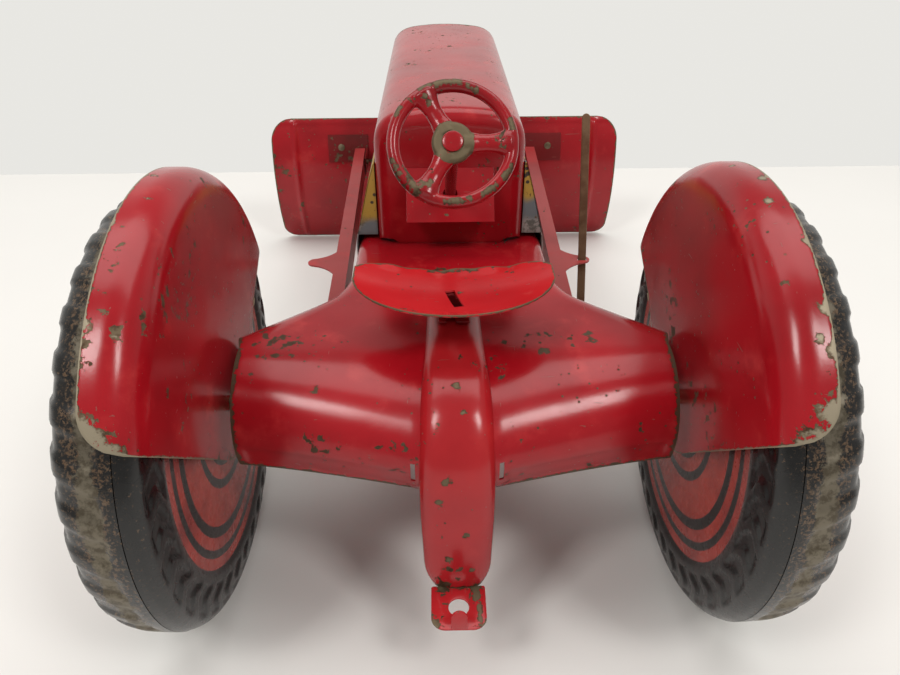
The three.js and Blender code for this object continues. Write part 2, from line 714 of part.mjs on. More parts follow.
// The right arm: an upright web with a flange along its top and an ear that carries the lever.
function makeArm(withLever) {
  const [rear, front] = [PIVOT_Y - 8, BLADE_BACK - 1.6];
  const strip = (inner, outer) => outline([
    [armOuter(rear) - outer, rear], [armOuter(front) - outer, front],
    [armOuter(front) - inner, front], [armOuter(rear) - inner, rear],
  ]);
  const flange = extrudeZ(strip(0, ARM_FLANGE), ARM_TOP - SHEET, ARM_TOP);
  const web = extrudeZ(strip(ARM_FLANGE - SHEET, ARM_FLANGE), ARM_TOP - ARM_WEB, ARM_TOP);
  const root = armOuter(TAB_Y) - 1;
  const tip = 75.5;
  const ear = new THREE.Shape();
  ear.moveTo(root, TAB_Y - 14);
  ear.quadraticCurveTo(root + 4, TAB_Y - 6, tip - 3, TAB_Y - 4);
  ear.absarc(tip - 3.5, TAB_Y, 4, -Math.PI / 2, Math.PI / 2);
  ear.quadraticCurveTo(root + 4, TAB_Y + 6, root, TAB_Y + 14);
  ear.closePath();
  const whole = join(flange, web, extrudeZ(ear, ARM_TOP - SHEET, ARM_TOP, 5));
  const holes = [rodX(40, 70, PIVOT_RADIUS + GAP, PIVOT_Y, PIVOT_Z, 16)];
  holes.push(armRivetHole());
  if (withLever) {
    const [x, y] = [LEVER_X, TAB_Y];
    holes.push(block(x - 2.5, x + 2.5, y - 1.5, y + 1.5, ARM_TOP - 5, ARM_TOP + 5));
  }
  return cut(whole, ...holes);
}

// A bracket: a leaf along the arm's web and a plate that follows the back of the blade.
function makeBladeBracket() {
  const leafOuter = armOuter(BLADE_BACK - 22) - ARM_FLANGE - GAP;
  const band = bladeBand(BLADE_SHEET + GAP, BLADE_SHEET);
  const plate = extrudeX(band, leafOuter - BLADE_SHEET, leafOuter + 29, 14)
    .intersect(block(50, 100, BLADE_BACK - 6, BLADE_BACK + 20, 68, 87));
  const leaf = block(leafOuter - BLADE_SHEET, leafOuter, BLADE_BACK - 22, BLADE_BACK + 1.4, 66, 78);
  const trimmed = cut(leaf, extrudeX(bladeBand(GAP, 8), 40, 100, 14));
  return cut(join(plate, trimmed), armRivetHole(), bladeRivetHole(1));
}

// The hand lever: a flat strip with a round top that stands in the right arm's ear and leans forwards.
function makeLever() {
  const lean = THREE.MathUtils.degToRad(20.5);
  const [below, above, half, thick] = [34, 76, 2.1, 1.2];
  const strip = new THREE.Shape();
  strip.moveTo(-half, -below);
  strip.lineTo(half, -below);
  strip.lineTo(half, above - half);
  strip.absarc(0, above - half, half, 0, Math.PI);
  strip.closePath();
  const geometry = extrude(strip, thick, 5).translate(0, 0, -thick / 2);
  return toSolid(geometry.rotateX(Math.PI / 2 - lean).translate(LEVER_X, TAB_Y, ARM_TOP - SHEET / 2));
}

// ---------------------------------------------------------------------------------------------
// Steering, drawn along +X and then laid on the column: x = 0 is the wheel's hub

function onColumn(solid) {
  const up = THREE.MathUtils.radToDeg(COLUMN_LEAN);
  return solid.rotate([0, 0, -90]).rotate([-up, 0, 0]).translate(0, STEERING_Y, STEERING_Z);
}

function makeSteeringWheel() {
  const rim = new THREE.TorusGeometry(STEERING_RADIUS, STEERING_SECTION, 6, 30).rotateY(Math.PI / 2);
  const boss = turned([
    [-2.5, 2.8], [-2.5, 6], [0, 7.5], [1.6, 7.5], [2.2, 6.4], [2.2, 2.8],
  ], 20);
  const spokes = [0, 120, 240].map((angle) => {
    const bar = new THREE.CapsuleGeometry(2.2, STEERING_RADIUS - 8, 2, 6);
    const placed = bar.translate(0, (STEERING_RADIUS + 6) / 2, 0);
    return toSolid(placed.rotateX(THREE.MathUtils.degToRad(angle))).translate(0.2, 0, 0);
  });
  return join(toSolid(rim), boss, ...spokes.map((spoke) => cut(spoke, rodX(-9, 9, 5, 0, 0))));
}

// The column, with a collar that holds it behind the hood's rear wall.
function makeColumn() {
  return turned([
    [-88, 0], [-88, 2.5], [-84, 2.5], [-84, 4.5], [-82.5, 4.5], [-82.5, 2.5], [1.6, 2.5], [1.6, 0],
  ], 16);
}

const makeSteeringRivet = () => turned([[2.5, 0], [2.5, 3.7], [3.4, 3.3], [4, 1.8], [4.1, 0]], 16);

// ---------------------------------------------------------------------------------------------
// Assembly. Everything is laid out from the rear axle, then moved so that the origin is in the middle.

const tractor = new THREE.Group();
const bladeFront = BLADE_BACK + BLADE_ARC
  - Math.sqrt((BLADE_ARC - BLADE_SHEET) ** 2 - (BLADE_MIDDLE - BLADE_BOTTOM) ** 2);
tractor.position.y = -(bladeFront - TYRE_RADIUS) / 2;

const chassis = new THREE.Group();
chassis.add(piece('chassis_pressing', makeChassis(), redPaint()));
chassis.add(piece('drawbar_channel', makeDrawbar(), redPaint()));
chassis.add(piece('seat_pan', makeSeatPan(), redPaint()));
chassis.add(piece('seat_bracket', makeSeatBracket(), redPaint()));
chassis.add(piece('hood', makeHood(), redPaint()));
chassis.add(piece('radiator_grille', makeGrille(), redPaint()));
chassis.add(piece('dash_box', makeDash(), redPaint()));
for (const [side, panel] of bothSides(makeEnginePanel())) {
  chassis.add(piece(`engine_panel_${side}`, panel, printedPanel()));
}
for (const [side, fender] of bothSides(makeFender())) {
  chassis.add(piece(`fender_${side}`, fender, redPaint()));
}
chassis.add(piece('rear_axle', rodX(-AXLE_HALF, AXLE_HALF, AXLE_RADIUS, 0, AXLE_Z), bareSteel()));
const rearCap = axleCap(REAR_OUTER_DISC + SHEET + GAP, AXLE_RADIUS, AXLE_HALF).translate(0, 0, AXLE_Z);
for (const [side, cap] of bothSides(rearCap)) {
  chassis.add(piece(`rear_axle_cap_${side}`, cap, bareSteel()));
}

const pivotEnd = armOuter(PIVOT_Y) - ARM_FLANGE + SHEET + 3;
chassis.add(piece('arm_pivot_rod', rodX(-pivotEnd, pivotEnd, PIVOT_RADIUS, PIVOT_Y, PIVOT_Z), bareSteel()));
const pivotCap = axleCap(armOuter(PIVOT_Y) - ARM_FLANGE + SHEET + 2 * GAP, PIVOT_RADIUS, pivotEnd)
  .translate(0, PIVOT_Y, PIVOT_Z);
for (const [side, cap] of bothSides(pivotCap)) {
  chassis.add(piece(`arm_pivot_cap_${side}`, cap, bareSteel()));
}

chassis.add(piece('front_bolster', makeBolster(), redPaint()));
const bolsterRivet = rivetX(DECK_Z - 2 * SHEET - GAP, DECK_Z, 1.5, 3).rotate([0, -90, 0]);
chassis.add(piece('bolster_rivet', bolsterRivet.translate(0, FRONT_AXLE_Y, 0), bareSteel()));
const frontAxleHalf = FRONT_SEAM + FRONT_SIDE + 2;
chassis.add(piece('front_axle',
  rodX(-frontAxleHalf, frontAxleHalf, FRONT_AXLE_RADIUS, FRONT_AXLE_Y, FRONT_RADIUS), bareSteel()));
const frontCap = axleCap(FRONT_SEAM + 5 + GAP, FRONT_AXLE_RADIUS, frontAxleHalf)
  .translate(0, FRONT_AXLE_Y, FRONT_RADIUS);
for (const [side, cap] of bothSides(frontCap)) {
  chassis.add(piece(`front_axle_cap_${side}`, cap, bareSteel()));
}

const steering = new THREE.Group();
steering.add(piece('steering_wheel', onColumn(makeSteeringWheel()), redPaint()));
steering.add(piece('steering_column', onColumn(makeColumn()), bareSteel()));
steering.add(piece('steering_rivet', onColumn(makeSteeringRivet()), redPaint()));

const rearWheels = new THREE.Group();
rearWheels.position.z = AXLE_Z;
for (const [part, solid] of [['inner', rearInnerHalf()], ['outer', rearOuterHalf()], ['hub', rearHub()]]) {
  for (const [side, half] of bothSides(solid)) {
    const look = part === 'hub' ? bareSteel() : tyrePaint();
    rearWheels.add(piece(`rear_wheel_${side}_${part}`, half, look));
  }
}

const frontWheels = new THREE.Group();
frontWheels.position.set(0, FRONT_AXLE_Y, FRONT_RADIUS);
for (const [part, solid] of Object.entries(frontWheelParts())) {
  for (const [side, half] of bothSides(solid)) {
    const look = part === 'hub' ? bareSteel() : tyrePaint();
    frontWheels.add(piece(`front_wheel_${side}_${part}`, half, look));
  }
}

const liftFrame = new THREE.Group();
liftFrame.add(piece('lift_arm_right', makeArm(true), redPaint()));
liftFrame.add(piece('lift_arm_left', mirrored(makeArm(false)), redPaint()));
liftFrame.add(piece('blade', makeBlade(), redPaint()));
for (const [side, bracket] of bothSides(makeBladeBracket())) {
  liftFrame.add(piece(`blade_bracket_${side}`, bracket, redPaint()));
}
liftFrame.add(piece('lift_lever', makeLever(), bareSteel()));
const bladeRivet = rivetX(-BLADE_SHEET, BLADE_SHEET + GAP, 1.5, 2.8);
for (const [side, rivet] of bothSides(onBlade(bladeRivet, BLADE_RIVET_X, BLADE_RIVET_Z))) {
  liftFrame.add(piece(`blade_rivet_${side}`, rivet, bareSteel()));
}
const webX = armOuter(ARM_RIVET_Y) - ARM_FLANGE;
const armRivet = rivetX(webX - 1.8, webX + SHEET + 0.1, 1.5, 2.6).translate(0, ARM_RIVET_Y, ARM_RIVET_Z);
for (const [side, rivet] of bothSides(armRivet)) {
  liftFrame.add(piece(`arm_rivet_${side}`, rivet, bareSteel()));
}

tractor.add(chassis, steering, rearWheels, frontWheels, liftFrame);

const assembly = new THREE.Group();
assembly.add(tractor);
export default assembly;
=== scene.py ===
"""A pressed-steel toy tractor with a lever-lifted dozer blade, finished over its CAD frame.

Sizes are in millimetres from the rear axle: +X is the driver's right, +Y is forwards and +Z is up from the
floor. place() turns them into the row frame, in metres.
"""

from __future__ import annotations

import logging
import math
from dataclasses import dataclass, field
from enum import Enum
from typing import Callable, Sequence

import bmesh
import bpy
import numpy as np
from mathutils import Matrix, Vector
from mathutils.kdtree import KDTree


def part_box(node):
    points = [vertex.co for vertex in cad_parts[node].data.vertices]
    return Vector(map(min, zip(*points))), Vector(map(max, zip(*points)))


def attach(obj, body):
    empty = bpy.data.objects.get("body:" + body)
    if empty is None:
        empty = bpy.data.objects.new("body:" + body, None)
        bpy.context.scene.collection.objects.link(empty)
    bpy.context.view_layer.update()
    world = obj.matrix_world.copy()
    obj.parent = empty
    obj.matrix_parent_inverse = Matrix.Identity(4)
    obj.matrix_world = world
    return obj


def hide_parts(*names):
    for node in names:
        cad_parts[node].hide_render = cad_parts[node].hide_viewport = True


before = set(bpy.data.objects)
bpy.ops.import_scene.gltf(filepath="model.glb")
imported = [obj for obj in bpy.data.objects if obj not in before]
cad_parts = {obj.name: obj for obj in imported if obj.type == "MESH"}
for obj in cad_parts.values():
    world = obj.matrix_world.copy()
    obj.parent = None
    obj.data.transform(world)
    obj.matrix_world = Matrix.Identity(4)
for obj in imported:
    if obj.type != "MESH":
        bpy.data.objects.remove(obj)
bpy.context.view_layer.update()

log = logging.getLogger("tractor")

MM = 0.001
AXLE_BEHIND_ORIGIN = 122.19
AXLE_Z = 83.0
FRONT_AXLE_Y = 250.0
FRONT_AXLE_Z = 38.0
SHEET = 0.8
SIDES = (("right", 1), ("left", -1))

Point = tuple[float, float, float]
Spot = tuple[float, float, float, float]


class Coat(Enum):
    """The finishes, each named by its material slot."""

    RED = "red_paint"
    STEEL = "bare_steel"
    TYRE = "tyre_print"
    ENGINE = "engine_print"


class Body(Enum):
    """The bodies that pieces ride on."""

    CHASSIS = "chassis"
    STEERING = "steering"
    REAR_RIGHT = "rear_wheel_right"
    REAR_LEFT = "rear_wheel_left"
    FRONT_RIGHT = "front_wheel_right"
    FRONT_LEFT = "front_wheel_left"
    LIFT = "blade_lift"


# ---------------------------------------------------------------------------------------------------
# The bench: placing, pressing, turning and edging sheet metal


def place(x: float, y: float, z: float) -> Vector:
    """Gives a point drawn from the rear axle in the row frame, in metres."""
    return Vector((x * MM, (y - AXLE_BEHIND_ORIGIN) * MM, z * MM))


def pick(piece: bpy.types.Object) -> None:
    """Makes one piece the only selected and active one.

    Args:
        piece: The piece to select.
    """
    bpy.ops.object.select_all(action="DESELECT")
    piece.select_set(True)
    bpy.context.view_layer.objects.active = piece


def call(piece: bpy.types.Object, name: str) -> bpy.types.Object:
    """Names a piece and its mesh.

    Args:
        piece: The piece.
        name: Its new name.

    Returns:
        The same piece.
    """
    piece.name = name
    piece.data.name = name
    return piece


def edit_all(piece: bpy.types.Object) -> None:
    """Opens a piece in edit mode with all of it selected.

    Args:
        piece: The piece to open.
    """
    pick(piece)
    bpy.ops.object.mode_set(mode="EDIT")
    bpy.ops.mesh.select_mode(type="VERT")
    bpy.ops.mesh.select_all(action="SELECT")


def weld(piece: bpy.types.Object, reach: float = 0.02) -> None:
    """Merges vertices that lie together.

    Args:
        piece: The piece to weld.
        reach: How close they lie, in millimetres.
    """
    edit_all(piece)
    bpy.ops.mesh.remove_doubles(threshold=reach * MM)
    bpy.ops.object.mode_set(mode="OBJECT")


def face_out(piece: bpy.types.Object) -> None:
    """Turns a closed piece's faces outwards.

    Args:
        piece: The closed piece.
    """
    edit_all(piece)
    bpy.ops.mesh.normals_make_consistent(inside=False)
    bpy.ops.object.mode_set(mode="OBJECT")


def smooth(piece: bpy.types.Object, degrees: float = 40.0) -> None:
    """Shades a piece smooth, with edges kept where it turns by more than an angle."""
    pick(piece)
    bpy.ops.object.shade_smooth_by_angle(angle=math.radians(degrees))


def flatten(piece: bpy.types.Object) -> None:
    """Keeps a piece's broad faces flat, with all the turning shaded into its eased edges.

    Args:
        piece: The piece, already shaded smooth.
    """
    weighted = piece.modifiers.new("weighted", "WEIGHTED_NORMAL")
    weighted.weight = 100
    weighted.keep_sharp = True
    apply_modifiers(piece)


def apply_modifiers(piece: bpy.types.Object) -> None:
    """Applies a piece's modifiers in order.

    Args:
        piece: The piece.
    """
    pick(piece)
    for modifier in list(piece.modifiers):
        bpy.ops.object.modifier_apply(modifier=modifier.name)


def ease_edges(piece: bpy.types.Object, width: float, degrees: float = 40.0, segments: int = 2) -> None:
    """Rounds a piece's sharp edges.

    Args:
        piece: The piece to ease.
        width: The rounding's width, in millimetres.
        degrees: The least turn that counts as an edge.
        segments: The rounding's steps.
    """
    bevel = piece.modifiers.new("eased", "BEVEL")
    bevel.width = width * MM
    bevel.segments = segments
    bevel.limit_method = "ANGLE"
    bevel.angle_limit = math.radians(degrees)
    bevel.use_clamp_overlap = True
    apply_modifiers(piece)


def thicken(piece: bpy.types.Object, thickness: float = SHEET, edge: float = 0.2) -> None:
    """Gives an open skin its sheet thickness, inwards, with eased edges.

    Args:
        piece: The skin, with its faces outwards.
        thickness: The sheet, in millimetres.
        edge: The easing of the sheet's edges.
    """
    sheet = piece.modifiers.new("sheet", "SOLIDIFY")
    sheet.thickness = thickness * MM
    sheet.offset = -1.0
    sheet.use_even_offset = True
    sheet.thickness_clamp = 1.0
    apply_modifiers(piece)
    if edge > 0:
        ease_edges(piece, edge, degrees=55.0)


def pressed(name: str, table: np.ndarray, inside: Point) -> bpy.types.Object:
    """Lays a flat grid and presses it to a table of points.

    Args:
        name: The skin's name.
        table: Columns by rows of points, in millimetres from the rear axle.
        inside: A point on the sheet's inner side, which the faces turn away from.

    Returns:
        The open skin, with its faces outwards.
    """
    columns, rows = table.shape[0] - 1, table.shape[1] - 1
    bpy.ops.object.select_all(action="DESELECT")
    bpy.ops.mesh.primitive_grid_add(x_subdivisions=columns, y_subdivisions=rows, size=1.0)
    skin = call(bpy.context.object, name)
    flat = np.empty(len(skin.data.vertices) * 3)
    skin.data.vertices.foreach_get("co", flat)
    flat = flat.reshape(-1, 3) + 0.5
    i = np.rint(flat[:, 0] * columns).astype(int)
    j = np.rint(flat[:, 1] * rows).astype(int)
    shaped = table[i, j] - np.array([0.0, AXLE_BEHIND_ORIGIN, 0.0])
    skin.data.vertices.foreach_set("co", (shaped * MM).ravel())
    skin.data.update()
    core = place(*inside)
    lean = sum((face.center - core).dot(face.normal) * face.area for face in skin.data.polygons)
    if lean < 0:
        skin.data.flip_normals()
    return skin


def gathered(name: str, pieces: Sequence[bpy.types.Object]) -> bpy.types.Object:
    """Gathers pieces in the first one, each still whole.

    Args:
        name: The whole piece's name.
        pieces: The pieces, the first of which keeps the rest.

    Returns:
        The whole piece.
    """
    pick(pieces[0])
    for piece in pieces:
        piece.select_set(True)
    bpy.ops.object.join()
    return call(pieces[0], name)


def joined(name: str, pieces: Sequence[bpy.types.Object]) -> bpy.types.Object:
    """Gathers pieces and welds them.

    Args:
        name: The whole piece's name.
        pieces: The pieces, the first of which keeps the rest.

    Returns:
        The whole piece.
    """
    whole = gathered(name, pieces)
    weld(whole)
    return whole


def drawn_out(piece: bpy.types.Object, move: tuple[float, float, float]) -> None:
    """Draws a flat piece out to a thickness and turns its faces outwards.

    Args:
        piece: The flat piece.
        move: The way and the distance, in metres.
    """
    edit_all(piece)
    bpy.ops.mesh.extrude_region_move(TRANSFORM_OT_translate={"value": move})
    bpy.ops.mesh.select_all(action="SELECT")
    bpy.ops.mesh.normals_make_consistent(inside=False)
    bpy.ops.object.mode_set(mode="OBJECT")


def turned(name: str, profile: Sequence[tuple[float, float]], steps: int, lie: Matrix) -> bpy.types.Object:
    """Turns a closed profile about an axis.

    Args:
        name: The piece's name.
        profile: (along, radius) corners, in millimetres, closing on themselves or on the axis.
        steps: How many steps go round.
        lie: Lays the piece, turned about +X in millimetres, in the row frame.

    Returns:
        The closed piece.
    """
    corners = [(x, 0.0, max(r, 0.0)) for x, r in profile]
    edges = [(k, k + 1) for k in range(len(corners) - 1)]
    if profile[0][1] > 0.001 and profile[-1][1] > 0.001:
        edges.append((len(corners) - 1, 0))
    mesh = bpy.data.meshes.new(name)
    mesh.from_pydata(corners, edges, [])
    piece = bpy.data.objects.new(name, mesh)
    bpy.context.scene.collection.objects.link(piece)
    edit_all(piece)
    bpy.ops.mesh.spin(steps=steps, angle=2 * math.pi, center=(0, 0, 0), axis=(1, 0, 0))
    bpy.ops.mesh.select_all(action="SELECT")
    bpy.ops.mesh.remove_doubles(threshold=0.001)
    bpy.ops.mesh.normals_make_consistent(inside=False)
    bpy.ops.object.mode_set(mode="OBJECT")
    piece.data.transform(lie)
    return piece


def along_x(y: float, z: float, x: float = 0.0, side: int = 1) -> Matrix:
    """Lays a turned piece along X through a point, mirrored for the left side."""
    scale = Matrix.Diagonal((side * MM, side * MM, MM, 1.0))
    return Matrix.Translation(place(side * x, y, z)) @ scale


def carried_over(node: str, edge: float, degrees: float = 30.0) -> bpy.types.Object:
    """Copies a CAD node's mesh as a new piece with welded faces and eased edges.

    Args:
        node: The CAD node.
        edge: The easing of its edges, in millimetres.
        degrees: The least turn that counts as an edge.

    Returns:
        The new piece, named after the node.
    """
    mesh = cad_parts[node].data.copy()
    piece = bpy.data.objects.new(f"{node}_shape", mesh)
    bpy.context.scene.collection.objects.link(piece)
    call(piece, f"{node}_shape")
    edit_all(piece)
    bpy.ops.mesh.customdata_custom_splitnormals_clear()
    bpy.ops.mesh.remove_doubles(threshold=0.01 * MM)
    bpy.ops.mesh.dissolve_limited(angle_limit=math.radians(1.0))
    bpy.ops.mesh.normals_make_consistent(inside=False)
    bpy.ops.object.mode_set(mode="OBJECT")
    ease_edges(piece, edge, degrees)
    return piece


def pierced(piece: bpy.types.Object, *cutters: bpy.types.Object) -> None:
    """Cuts a piece with others and takes the cutters away.

    Args:
        piece: The piece to cut.
        cutters: The closed shapes that are cut away from it.
    """
    for cutter in cutters:
        hole = piece.modifiers.new("pierced", "BOOLEAN")
        hole.operation = "DIFFERENCE"
        hole.solver = "EXACT"
        hole.object = cutter
    apply_modifiers(piece)
    for cutter in cutters:
        bpy.data.objects.remove(cutter)


def punch(shape: str, size: Point, at: Point, turn: Point = (0.0, 0.0, 0.0)) -> bpy.types.Object:
    """Makes a cutter.

    Args:
        shape: "block" or "round", a cylinder along Z.
        size: Its full size, in millimetres.
        at: Its middle.
        turn: Its rotation, in degrees.

    Returns:
        The cutter.
    """
    bpy.ops.object.select_all(action="DESELECT")
    if shape == "block":
        bpy.ops.mesh.primitive_cube_add(size=1.0)
    else:
        bpy.ops.mesh.primitive_cylinder_add(vertices=32, radius=0.5, depth=1.0)
    cutter = bpy.context.object
    turned_by = Matrix.Identity(4)
    for angle, axis in zip(turn, "XYZ"):
        turned_by = Matrix.Rotation(math.radians(angle), 4, axis) @ turned_by
    scale = Matrix.Diagonal((size[0] * MM, size[1] * MM, size[2] * MM, 1.0))
    cutter.data.transform(Matrix.Translation(place(*at)) @ turned_by @ scale)
    return cutter


def length_along(line: np.ndarray) -> np.ndarray:
    """Measures a line of points from its start."""
    steps = np.linalg.norm(np.diff(line, axis=0), axis=1)
    return np.concatenate([[0.0], np.cumsum(steps)])


def spaced(line: np.ndarray, count: int) -> np.ndarray:
    """Spaces points evenly along a line.

    Args:
        line: The line's own points.
        count: How many points to give.

    Returns:
        The points.
    """
    run = length_along(line)
    at = np.linspace(0.0, 1.0, count) * run[-1]
    return np.stack([np.interp(at, run, line[:, k]) for k in range(line.shape[1])], axis=1)


def faired(knots: Sequence[Sequence[float]], count: int) -> np.ndarray:
    """Draws a fair curve through knots and spaces points along it.

    Args:
        knots: The points that the curve goes through.
        count: How many points to give.

    Returns:
        The points along the curve.
    """
    points = np.asarray(knots, float)
    ends = np.vstack([2 * points[0] - points[1], points, 2 * points[-1] - points[-2]])
    t = np.linspace(0.0, 1.0, 16, endpoint=False)[:, None]
    runs = []
    for k in range(1, len(ends) - 2):
        a, b, c, d = ends[k - 1], ends[k], ends[k + 1], ends[k + 2]
        runs.append(0.5 * (2 * b + (c - a) * t + (2 * a - 5 * b + 4 * c - d) * t ** 2
                           + (3 * b - a - 3 * c + d) * t ** 3))
    runs.append(points[-1:])
    return spaced(np.vstack(runs), count)


def step(low: float, high: float, value: np.ndarray) -> np.ndarray:
    """Rises smoothly from 0 to 1 between two values."""
    t = np.clip((value - low) / (high - low), 0.0, 1.0)
    return t * t * (3 - 2 * t)


def rim_points(skin: bpy.types.Object) -> list[Vector]:
    """Lists the points along an open skin's edges.

    Args:
        skin: The open skin.

    Returns:
        The points, in the row frame.
    """
    shell = bmesh.new()
    shell.from_mesh(skin.data)
    points = [v.co.copy() for v in shell.verts if v.is_boundary]
    shell.free()
    return points


def mark_wear(piece: bpy.types.Object, rims: Sequence[Vector], reach: float, spots: Sequence[Spot] = (),
              extra: Callable[[np.ndarray], np.ndarray] | None = None) -> None:
    """Stores how worn the finish is at every vertex, from 0 to 1.

    Args:
        piece: The finished piece.
        rims: Points along its rubbed edges.
        reach: How far the rubbing reaches, in millimetres.
        spots: (x, y, z, radius) of worn patches, in millimetres.
        extra: Gives more wear for points in the row frame.
    """
    count = len(piece.data.vertices)
    points = np.empty(count * 3)
    piece.data.vertices.foreach_get("co", points)
    points = points.reshape(-1, 3)
    wear = np.zeros(count)
    if rims:
        tree = KDTree(len(rims))
        for index, rim in enumerate(rims):
            tree.insert(rim, index)
        tree.balance()
        gap = np.array([tree.find(point)[2] for point in points])
        wear = np.clip(1.0 - gap / (reach * MM), 0.0, 1.0)
    for x, y, z, radius in spots:
        gap = np.linalg.norm(points - np.array(place(x, y, z)), axis=1)
        wear = np.maximum(wear, np.clip(1.0 - gap / (radius * MM), 0.0, 1.0))
    if extra is not None:
        wear = np.maximum(wear, extra(points))
    layer = piece.data.attributes.new("wear", "FLOAT", "POINT")
    layer.data.foreach_set("value", wear)


# ---------------------------------------------------------------------------------------------------
# Finishes


@dataclass
class Board:
    """A material's node tree, with a short way to add each kind of node."""

    name: str
    material: bpy.types.Material = field(init=False)

    def __post_init__(self) -> None:
        """Starts an empty tree with its shader and its place on the object."""
        self.material = bpy.data.materials.new(self.name)
        self.material.use_nodes = True
        self.tree = self.material.node_tree
        self.tree.nodes.clear()
        output = self.tree.nodes.new("ShaderNodeOutputMaterial")
        self.shader = self.tree.nodes.new("ShaderNodeBsdfPrincipled")
        self.tree.links.new(self.shader.outputs[0], output.inputs[0])
        self.place = self.tree.nodes.new("ShaderNodeTexCoord").outputs["Object"]

    def feed(self, socket: bpy.types.NodeSocket, value: object) -> None:
        """Links a socket to another, or sets its value.

        Args:
            socket: The socket to feed.
            value: Another socket, a plain value, or None to leave it.
        """
        if isinstance(value, bpy.types.NodeSocket):
            self.tree.links.new(value, socket)
        elif value is not None:
            socket.default_value = value

    def set(self, name: str, value: object) -> None:
        """Feeds one of the shader's sockets."""
        self.feed(self.shader.inputs[name], value)

    def laid(self, scale: Point, turn: Point = (0.0, 0.0, 0.0),
             shift: Point = (0.0, 0.0, 0.0)) -> bpy.types.NodeSocket:
        """Stretches and turns the object's own coordinates.

        Args:
            scale: The stretch along each axis.
            turn: The turn about each axis, in degrees.
            shift: The move along each axis.

        Returns:
            The laid coordinates.
        """
        mapping = self.tree.nodes.new("ShaderNodeMapping")
        self.feed(mapping.inputs["Vector"], self.place)
        mapping.inputs["Scale"].default_value = scale
        mapping.inputs["Rotation"].default_value = tuple(math.radians(a) for a in turn)
        mapping.inputs["Location"].default_value = shift
        return mapping.outputs[0]

    def noise(self, scale: float, detail: float = 3.0, rough: float = 0.5,
              where: bpy.types.NodeSocket | None = None) -> bpy.types.NodeSocket:
        """Adds a cloud pattern; a scale of 1000 repeats about every millimetre.

        Args:
            scale: How fine the clouds are.
            detail: How many finer layers they hold.
            rough: How strong the finer layers are.
            where: The coordinates, or None for the object's own.

        Returns:
            The pattern, from 0 to 1.
        """
        node = self.tree.nodes.new("ShaderNodeTexNoise")
        self.feed(node.inputs["Vector"], where or self.place)
        node.inputs["Scale"].default_value = scale
        node.inputs["Detail"].default_value = detail
        node.inputs["Roughness"].default_value = rough
        return node.outputs["Fac"]

    def cells(self, scale: float) -> bpy.types.NodeSocket:
        """Adds the distance to scattered points.

        Args:
            scale: How close the points lie.

        Returns:
            The distance to the nearest point.
        """
        node = self.tree.nodes.new("ShaderNodeTexVoronoi")
        self.feed(node.inputs["Vector"], self.place)
        node.inputs["Scale"].default_value = scale
        return node.outputs["Distance"]

    def sum(self, kind: str, a: object, b: object = None, clamp: bool = False) -> bpy.types.NodeSocket:
        """Adds a math node.

        Args:
            kind: The operation.
            a: The first value.
            b: The second value, where there is one.
            clamp: True keeps the result between 0 and 1.

        Returns:
            The result.
        """
        node = self.tree.nodes.new("ShaderNodeMath")
        node.operation = kind
        node.use_clamp = clamp
        self.feed(node.inputs[0], a)
        self.feed(node.inputs[1], b)
        return node.outputs[0]

    def band(self, value: object, low: float, high: float) -> bpy.types.NodeSocket:
        """Rises from 0 to 1 between two values, or falls where low is above high.

        Args:
            value: The value that is read.
            low: Where it starts.
            high: Where it ends.

        Returns:
            The rise, from 0 to 1.
        """
        node = self.tree.nodes.new("ShaderNodeMapRange")
        node.interpolation_type = "SMOOTHSTEP"
        self.feed(node.inputs["Value"], value)
        flip = low > high
        node.inputs["From Min"].default_value = min(low, high)
        node.inputs["From Max"].default_value = max(low, high)
        node.inputs["To Min"].default_value = 1.0 if flip else 0.0
        node.inputs["To Max"].default_value = 0.0 if flip else 1.0
        return node.outputs["Result"]

    def blend(self, factor: object, a: object, b: object) -> bpy.types.NodeSocket:
        """Mixes two colours.

        Args:
            factor: How much of the second colour shows.
            a: The first colour.
            b: The second colour.

        Returns:
            The mixed colour.
        """
        node = self.tree.nodes.new("ShaderNodeMix")
        node.data_type = "RGBA"
        self.feed(node.inputs[0], factor)
        self.feed(node.inputs[6], rgba(a))
        self.feed(node.inputs[7], rgba(b))
        return node.outputs[2]

    def level(self, factor: object, a: float, b: float) -> bpy.types.NodeSocket:
        """Runs from one number to another.

        Args:
            factor: The value from 0 to 1.
            a: The number at 0.
            b: The number at 1.

        Returns:
            The number between them.
        """
        node = self.tree.nodes.new("ShaderNodeMapRange")
        self.feed(node.inputs["Value"], factor)
        node.inputs["To Min"].default_value = a
        node.inputs["To Max"].default_value = b
        return node.outputs["Result"]

    def worn(self) -> bpy.types.NodeSocket:
        """Reads the piece's own wear.

        Returns:
            The wear, from 0 to 1.
        """
        node = self.tree.nodes.new("ShaderNodeAttribute")
        node.attribute_name = "wear"
        return node.outputs["Fac"]

    def axis(self, name: str) -> bpy.types.NodeSocket:
        """Reads one coordinate of the object, in metres.

        Args:
            name: "X", "Y" or "Z".

        Returns:
            The coordinate.
        """
        node = self.tree.nodes.new("ShaderNodeSeparateXYZ")
        self.feed(node.inputs[0], self.place)
        return node.outputs[name]

    def relief(self, height: bpy.types.NodeSocket, depth: float,
               under: object = None) -> bpy.types.NodeSocket:
        """Adds a relief of a depth in millimetres.

        Args:
            height: The height pattern, from 0 to 1.
            depth: Its depth, in millimetres.
            under: A relief that lies under it.

        Returns:
            The bent normal.
        """
        node = self.tree.nodes.new("ShaderNodeBump")
        node.inputs["Strength"].default_value = 1.0
        node.inputs["Distance"].default_value = depth * MM
        self.feed(node.inputs["Height"], height)
        self.feed(node.inputs["Normal"], under)
        return node.outputs[0]


